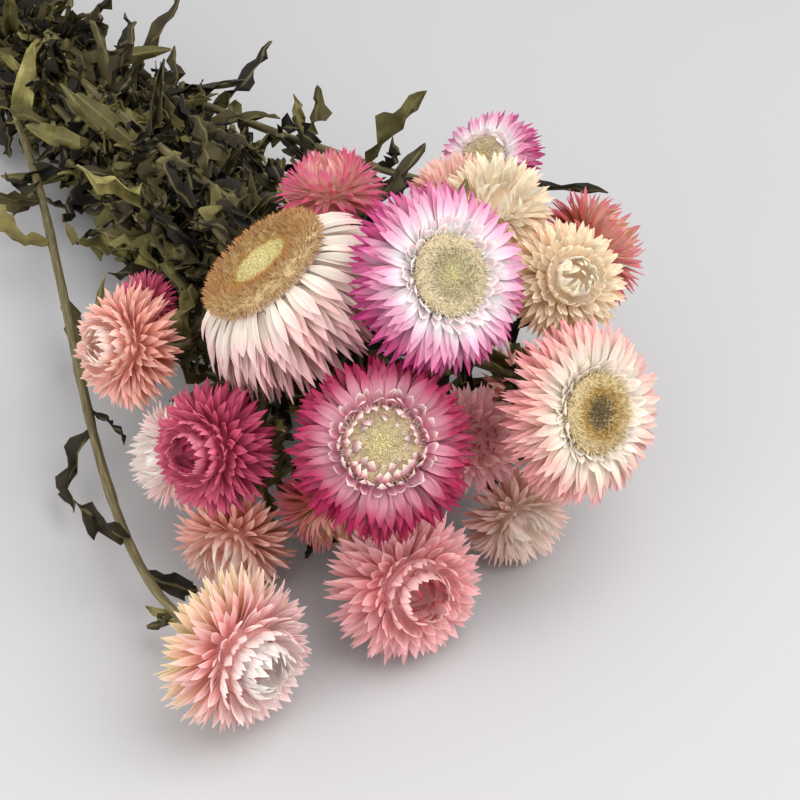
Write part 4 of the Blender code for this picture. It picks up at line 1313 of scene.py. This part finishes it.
def papery_bract(finish, colours, depth, glow):
    """Strawflower bract, scaly tissue that dried on the plant: papery and satin, with fine veins
    along it, light coming through it, and colour that deepens from its base to its tip."""
    material, tree, shader = blank(f"papery_bract_{finish}")
    blade = node(tree, "ShaderNodeAttribute", attribute_name="blade").outputs["Vector"]
    place = node(tree, "ShaderNodeAttribute", attribute_name="place").outputs["Vector"]
    along, across, tone = node(tree, "ShaderNodeSeparateXYZ", {0: blade}).outputs[:3]
    inward, heart, _ = node(tree, "ShaderNodeSeparateXYZ", {0: place}).outputs[:3]
    spots = (0.0, 0.5, 1.0)
    base = node(tree, "ShaderNodeValToRGB", {0: inward}, list(zip(colours[0:6:2], spots))).outputs[0]
    tip = node(tree, "ShaderNodeValToRGB", {0: inward}, list(zip(colours[1:6:2], spots))).outputs[0]
    wander = node(tree, "ShaderNodeMath", {0: tone, 1: 0.16, 2: along}, operation="MULTIPLY_ADD").outputs[0]
    ripen = node(
        tree, "ShaderNodeMapRange", {0: wander, 1: TIP_STARTS, 2: TIP_FULL}, interpolation_type="SMOOTHSTEP"
    ).outputs[0]
    colour = node(tree, "ShaderNodeMix", {0: ripen, 6: base, 7: tip}, data_type="RGBA").outputs[2]
    hearted = node(tree, "ShaderNodeMath", {0: heart, 1: ripen}, operation="MULTIPLY").outputs[0]
    colour = node(
        tree, "ShaderNodeMix", {0: hearted, 6: colour, 7: (*colours[6], 1)}, data_type="RGBA"
    ).outputs[2]
    over = node(tree, "ShaderNodeMath", {0: across, 1: 1 / VEIN_SPACING}, operation="MULTIPLY").outputs[0]
    apart = node(tree, "ShaderNodeMath", {0: tone, 1: 40.0}, operation="MULTIPLY").outputs[0]
    lines = node(tree, "ShaderNodeCombineXYZ", {0: over, 1: along, 2: apart}).outputs[0]
    veins = node(tree, "ShaderNodeTexNoise", {"Vector": lines, "Scale": 1.0, "Detail": 2.0}).outputs[0]
    streaks = node(tree, "ShaderNodeMapRange", {0: veins, 1: 0.3, 2: 0.7, 3: 0.88, 4: 1.08}).outputs[0]
    shade = node(tree, "ShaderNodeMapRange", {0: tone, 3: 0.90, 4: 1.06}).outputs[0]
    value = node(tree, "ShaderNodeMath", {0: streaks, 1: shade}, operation="MULTIPLY").outputs[0]
    colour = node(tree, "ShaderNodeHueSaturation", {"Value": value, "Color": colour}).outputs[0]
    raised = node(
        tree, "ShaderNodeBump", {"Height": veins, "Distance": depth, "Strength": 0.6}
    ).outputs[0]
    tree.links.new(colour, shader.inputs["Base Color"])
    tree.links.new(raised, shader.inputs["Normal"])
    shader.inputs["Roughness"].default_value = 0.48
    shader.inputs["IOR"].default_value = 1.45
    through = node(tree, "ShaderNodeBsdfTranslucent", {"Color": colour}).outputs[0]
    mixed = node(tree, "ShaderNodeMixShader", {0: glow, 1: shader.outputs[0], 2: through}).outputs[0]
    tree.links.new(mixed, tree.nodes["Material Output"].inputs["Surface"])
    return material


def packed_florets(name, stops, root):
    """Florets packed in a dried flower head: dull and bristly, brown between and paler at the tips."""
    material, tree, shader = blank(f"packed_florets_{name}")
    floret = node(tree, "ShaderNodeAttribute", attribute_name="floret").outputs["Vector"]
    along, place, tone = node(tree, "ShaderNodeSeparateXYZ", {0: floret}).outputs[:3]
    tips = [(linear(hex_value), spot) for hex_value, spot in stops]
    tip = node(tree, "ShaderNodeValToRGB", {0: place}, tips).outputs[0]
    # Painted shade: each floret runs from the painted shade colour at its base to its tip colour, and the
    # bed, at nought along, takes mostly the shade colour.
    reach = node(tree, "ShaderNodeMapRange", {0: along, 3: 0.15, 4: 1.0}).outputs[0]
    colour = node(
        tree, "ShaderNodeMix", {0: reach, 6: (*root, 1), 7: tip}, data_type="RGBA"
    ).outputs[2]
    value = node(tree, "ShaderNodeMapRange", {0: tone, 3: 0.72, 4: 1.16}).outputs[0]
    hue = node(tree, "ShaderNodeMapRange", {0: tone, 3: 0.49, 4: 0.51}).outputs[0]
    colour = node(tree, "ShaderNodeHueSaturation", {"Hue": hue, "Value": value, "Color": colour}).outputs[0]
    tree.links.new(colour, shader.inputs["Base Color"])
    shader.inputs["Roughness"].default_value = 0.75
    return material


def dried_leaf(depth):
    """Leaf dried in air: dark olive to near black, some yellowed, dull, wrinkled along its veins."""
    material, tree, shader = blank("air_dried_leaf")
    blade = node(tree, "ShaderNodeAttribute", attribute_name="blade").outputs["Vector"]
    _, across, tone = node(tree, "ShaderNodeSeparateXYZ", {0: blade}).outputs[:3]
    where = node(tree, "ShaderNodeTexCoord").outputs["Object"]
    stains = node(
        tree, "ShaderNodeTexNoise", {"Vector": where, "Scale": 1 / STAIN_SIZE, "Detail": 4.0}
    ).outputs[0]
    shifted = node(
        tree, "ShaderNodeMath", {0: stains, 1: 0.55, 2: tone}, operation="MULTIPLY_ADD"
    ).outputs[0]
    spread = node(tree, "ShaderNodeMapRange", {0: shifted, 1: 0.2, 2: 1.35}).outputs[0]
    stops = [(linear(hex_value), spot) for hex_value, spot in LEAF_HEX]
    colour = node(tree, "ShaderNodeValToRGB", {0: spread}, stops).outputs[0]
    middle = node(tree, "ShaderNodeMath", {0: across}, operation="ABSOLUTE").outputs[0]
    rib = node(tree, "ShaderNodeMapRange", {0: middle, 1: 0.15, 2: 0.45, 3: 0.45, 4: 0.0}).outputs[0]
    colour = node(
        tree, "ShaderNodeMix", {0: rib, 6: colour, 7: (*linear(RIB_HEX), 1)}, data_type="RGBA"
    ).outputs[2]
    wrinkles = node(
        tree, "ShaderNodeTexNoise", {"Vector": where, "Scale": 1 / WRINKLE_SIZE, "Detail": 5.0}
    ).outputs[0]
    raised = node(
        tree, "ShaderNodeBump", {"Height": wrinkles, "Distance": depth, "Strength": 0.8}
    ).outputs[0]
    tree.links.new(colour, shader.inputs["Base Color"])
    tree.links.new(raised, shader.inputs["Normal"])
    shader.inputs["Roughness"].default_value = 0.7
    shader.inputs["Specular IOR Level"].default_value = 0.25
    return material


def dry_stem():
    """Herb stem dried in air: olive-brown and ridged, with fibres that catch a little light."""
    material, tree, shader = blank("air_dried_stem")
    blade = node(tree, "ShaderNodeAttribute", attribute_name="blade").outputs["Vector"]
    along, around, tone = node(tree, "ShaderNodeSeparateXYZ", {0: blade}).outputs[:3]
    far = node(tree, "ShaderNodeMath", {0: along, 1: 1 / FIBRE_LENGTH}, operation="MULTIPLY").outputs[0]
    lines = node(tree, "ShaderNodeCombineXYZ", {0: far, 1: around, 2: tone}).outputs[0]
    fibres = node(tree, "ShaderNodeTexNoise", {"Vector": lines, "Scale": 1.3, "Detail": 4.0}).outputs[0]
    stops = [(linear(hex_value), spot) for hex_value, spot in STEM_HEX]
    colour = node(tree, "ShaderNodeValToRGB", {0: fibres}, stops).outputs[0]
    raised = node(
        tree, "ShaderNodeBump", {"Height": fibres, "Distance": 0.0003, "Strength": 0.7}
    ).outputs[0]
    tree.links.new(colour, shader.inputs["Base Color"])
    tree.links.new(raised, shader.inputs["Normal"])
    shader.inputs["Roughness"].default_value = 0.62
    return material


def jute_twine():
    """Jute, spun and laid into twine: matt golden brown, darker between its fibres."""
    material, tree, shader = blank("twisted_jute")
    where = node(tree, "ShaderNodeTexCoord").outputs["Object"]
    fibres = node(
        tree, "ShaderNodeTexNoise", {"Vector": where, "Scale": 1 / JUTE_FIBRE, "Detail": 5.0}
    ).outputs[0]
    stops = [(linear(hex_value), spot) for hex_value, spot in JUTE_HEX]
    colour = node(tree, "ShaderNodeValToRGB", {0: fibres}, stops).outputs[0]
    raised = node(
        tree, "ShaderNodeBump", {"Height": fibres, "Distance": 0.0003, "Strength": 0.8}
    ).outputs[0]
    tree.links.new(colour, shader.inputs["Base Color"])
    tree.links.new(raised, shader.inputs["Normal"])
    shader.inputs["Roughness"].default_value = 0.88
    shader.inputs["Sheen Weight"].default_value = 0.2
    return material


def matt_paper(colour):
    """Background card, calendered and uncoated: an even pale grey with a faint tooth."""
    material, tree, shader = blank("uncoated_card")
    where = node(tree, "ShaderNodeTexCoord").outputs["Object"]
    tooth = node(tree, "ShaderNodeTexNoise", {"Vector": where, "Scale": 900.0, "Detail": 2.0}).outputs[0]
    value = node(tree, "ShaderNodeMapRange", {0: tooth, 3: 0.985, 4: 1.015}).outputs[0]
    shade = node(tree, "ShaderNodeHueSaturation", {"Value": value, "Color": (*colour, 1)}).outputs[0]
    tree.links.new(shade, shader.inputs["Base Color"])
    shader.inputs["Roughness"].default_value = 0.9
    return material


@functools.cache
def laid_out():
    """The heads, the stems' paths and each stem's leaves, settled as in the solids."""
    heads = [Head(number, *row) for number, row in enumerate(HEADS, 1)]
    settle_heads(heads)
    solids = []
    for head in heads:
        for points, faces in [bract_mesh(head)] + ([button_mesh(head)] if head.kind["button"] else []):
            solids.append(([head.to_world(p) for p in points], faces))
    paths = settle_stems(first_paths(heads), [head_cloud(head) for head in heads])
    tubes = [stem_mesh(path) for path in paths]
    leaves = place_leaves(paths, tubes + solids + [tie_mesh()])
    obstacles = [tree_of(*solid) for solid in solids + [tie_mesh()]]
    for number, path in enumerate(paths):
        leaves[number] += small_leaves(number, path, obstacles)
    return heads, paths, leaves


def millimetres(name, default, description):
    """A length property whose default is given in millimetres."""
    return FloatProperty(
        name=name, description=description, default=default * MM, min=0, unit="LENGTH", precision=5
    )


def colour(name, hex_value, description):
    """A colour property whose default is an sRGB hex value."""
    return FloatVectorProperty(
        name=name, description=description, default=linear(hex_value), subtype="COLOR", size=3, min=0, max=1
    )


BRACT_PLACES = ("outer_base", "outer_tip", "middle_base", "middle_tip", "inner_base", "inner_tip", "heart")
BractColours = type(
    "BractColours",
    (PropertyGroup,),
    {
        "__doc__": "Colours of the bracts, one set for each finish.",
        "__annotations__": {
            f"{finish}_{place}": colour(
                f"{finish} {place}".replace("_", " ").capitalize(), hex_value, "sRGB colour of these bracts"
            )
            for finish, hexes in BRACT_HEX.items()
            for place, hex_value in zip(BRACT_PLACES, hexes)
        },
    },
)


class HeadSizes(PropertyGroup):
    """Sizes of what the heads are made of."""

    bract_thickness: millimetres("Bract thickness", 0.14, "Thickness of one papery bract")
    vein_depth: millimetres("Vein depth", 0.10, "How far a bract's veins stand up")
    glow: FloatProperty(
        name="Glow", description="Share of light that comes through a bract", default=0.5, min=0, max=1,
        subtype="FACTOR",
    )
    # Painted shade: the brown painted at the florets' bases and on the bed between them.
    floret_painted_shade: colour("Floret root", "b8a274", "Colour deep between the florets")


class FoliageSizes(PropertyGroup):
    """Sizes of the leaves."""

    leaf_thickness: millimetres("Leaf thickness", 0.28, "Thickness of one dried leaf")
    wrinkle_depth: millimetres("Wrinkle depth", 0.45, "Depth of a leaf's fine wrinkles")


class StageSettings(PropertyGroup):
    """The floor and the light."""

    floor_side: FloatProperty(name="Floor side", description="Side of the floor", default=4.0, unit="LENGTH")
    floor_colour: colour("Floor colour", "b2b1b1", "Colour of the card under the bunch")
    key_power: FloatProperty(
        name="Key power", description="Power of the large soft light", default=3.1, min=0, unit="POWER"
    )
    sky_strength: FloatProperty(
        name="Sky strength", description="Strength of the even light from all sides", default=1.14, min=0
    )


class STRAWFLOWER_OT_stage(Operator):
    """Adds the floor, the soft light and the camera"""

    bl_idname = "strawflower.stage"
    bl_label = "Stage"

    def execute(self, context):
        stage = context.scene.strawflower_stage
        half = stage.floor_side / 2
        mesh = bpy.data.meshes.new("floor")
        corners = [(-half, -half, 0), (half, -half, 0), (half, half, 0), (-half, half, 0)]
        mesh.from_pydata(corners, [], [(0, 1, 2, 3)])
        mesh.materials.append(matt_paper(stage.floor_colour))
        floor = bpy.data.objects.new("floor", mesh)
        context.scene.collection.objects.link(floor)
        world = bpy.data.worlds.new("even sky")
        context.scene.world = world
        world.use_nodes = True
        sky = world.node_tree.nodes["Background"]
        sky.inputs["Color"].default_value = (*linear(SKY_HEX), 1)
        sky.inputs["Strength"].default_value = stage.sky_strength
        for name, spot, size, share in LAMPS:
            lamp = bpy.data.lights.new(name, "AREA")
            lamp.shape = "DISK"
            lamp.size = size * MM
            lamp.energy = stage.key_power * share
            lit = bpy.data.objects.new(name, lamp)
            lit.location = (CLUSTER_CENTRE + as_seen(spot)) * MM
            lit.rotation_euler = as_seen(spot).to_track_quat("Z", "Y").to_euler()
            context.scene.collection.objects.link(lit)
        across, up, towards = onlooker_axes()
        camera = bpy.data.objects.new("camera", bpy.data.cameras.new("camera"))
        camera.data.lens = CAMERA_LENS
        camera.data.clip_start = 0.01
        turn = Matrix((across, up, towards)).transposed().to_4x4()
        camera.matrix_world = Matrix.Translation((CLUSTER_CENTRE + towards * CAMERA_DISTANCE) * MM) @ turn
        context.scene.collection.objects.link(camera)
        context.scene.camera = camera
        context.scene.view_settings.view_transform = "Standard"
        return {"FINISHED"}


class STRAWFLOWER_OT_bracts(Operator):
    """Adds the papery bracts of every head"""

    bl_idname = "strawflower.bracts"
    bl_label = "Papery bracts"

    def execute(self, context):
        sizes, palette = context.scene.strawflower_heads, context.scene.strawflower_colours
        finishes = {}
        for finish in BRACT_HEX:
            colours = [tuple(getattr(palette, f"{finish}_{place}")) for place in BRACT_PLACES]
            finishes[finish] = papery_bract(finish, colours, sizes.vein_depth, sizes.glow)
        for head in laid_out()[0]:
            sheaf = head_piece(head, sizes.bract_thickness / MM)
            palette_name = PALETTE_OF_HEAD.get(head.name, head.colour)
            piece = sheaf.piece(f"papery_bracts_{head.name}", [finishes[palette_name]])
            dress(piece, f"bracts_{head.name}")
        return {"FINISHED"}


class STRAWFLOWER_OT_florets(Operator):
    """Adds the florets in the middle of the open heads"""

    bl_idname = "strawflower.florets"
    bl_label = "Florets"

    def execute(self, context):
        # The colour of the painted shade at the florets' bases and on their bed.
        root = context.scene.strawflower_heads.floret_painted_shade
        finishes = {name: packed_florets(name, stops, root) for name, stops in FLORET_HEX.items()}
        for head in laid_out()[0]:
            kind = head.kind["button"]
            if kind:
                finish = finishes[DOME_OF_HEAD.get(head.name, kind)]
                piece = button_piece(head).piece(f"packed_florets_{head.name}", [finish])
                dress(piece, f"button_{head.name}")
        return {"FINISHED"}


class STRAWFLOWER_OT_stems(Operator):
    """Adds the stems with their leaves"""

    bl_idname = "strawflower.stems"
    bl_label = "Leafy stems"

    def execute(self, context):
        sizes = context.scene.strawflower_foliage
        finishes = [dried_leaf(sizes.wrinkle_depth), dry_stem()]
        heads, paths, leaves = laid_out()
        for number, (head, path) in enumerate(zip(heads, paths)):
            sheaf = stem_piece(number, path, leaves[number], sizes.leaf_thickness / MM)
            piece = sheaf.piece(f"dried_stem_{head.name}", finishes)
            dress(piece, f"leafy_stem_{head.name}")
        return {"FINISHED"}


class STRAWFLOWER_OT_tie(Operator):
    """Adds the twine that holds the stems together"""

    bl_idname = "strawflower.tie"
    bl_label = "Twine tie"

    def execute(self, context):
        piece = twine_piece().piece("jute_tie", [jute_twine()])
        dress(piece, "twine_tie")
        return {"FINISHED"}


class STRAWFLOWER_PT_panel(Panel):
    """Lists what the bunch is built from"""

    bl_label = "Strawflowers"
    bl_idname = "STRAWFLOWER_PT_panel"
    bl_space_type = "VIEW_3D"
    bl_region_type = "UI"
    bl_category = "Strawflowers"

    def draw(self, context):
        for operator in OPERATORS:
            self.layout.operator(operator.bl_idname)
        for name in SETTINGS:
            group = getattr(context.scene, name)
            for prop in group.__annotations__:
                self.layout.prop(group, prop)


OPERATORS = (
    STRAWFLOWER_OT_stage,
    STRAWFLOWER_OT_bracts,
    STRAWFLOWER_OT_florets,
    STRAWFLOWER_OT_stems,
    STRAWFLOWER_OT_tie,
)
SETTINGS = {
    "strawflower_heads": HeadSizes,
    "strawflower_colours": BractColours,
    "strawflower_foliage": FoliageSizes,
    "strawflower_stage": StageSettings,
}


def register():
    """Makes the classes and their settings known."""
    for group in SETTINGS.values():
        bpy.utils.register_class(group)
    for name, group in SETTINGS.items():
        setattr(bpy.types.Scene, name, PointerProperty(type=group))
    for operator in OPERATORS:
        bpy.utils.register_class(operator)
    bpy.utils.register_class(STRAWFLOWER_PT_panel)


def unregister():
    """Takes the classes and their settings away again."""
    bpy.utils.unregister_class(STRAWFLOWER_PT_panel)
    for operator in OPERATORS:
        bpy.utils.unregister_class(operator)
    for name, group in SETTINGS.items():
        delattr(bpy.types.Scene, name)
        bpy.utils.unregister_class(group)


def main():
    """Builds the stage and every piece in order, and writes the boxes before and after."""
    register()
    for operator in OPERATORS:
        folder, name = operator.bl_idname.split(".")
        getattr(getattr(bpy.ops, folder), name)()


if __name__ == "__main__":
    main()
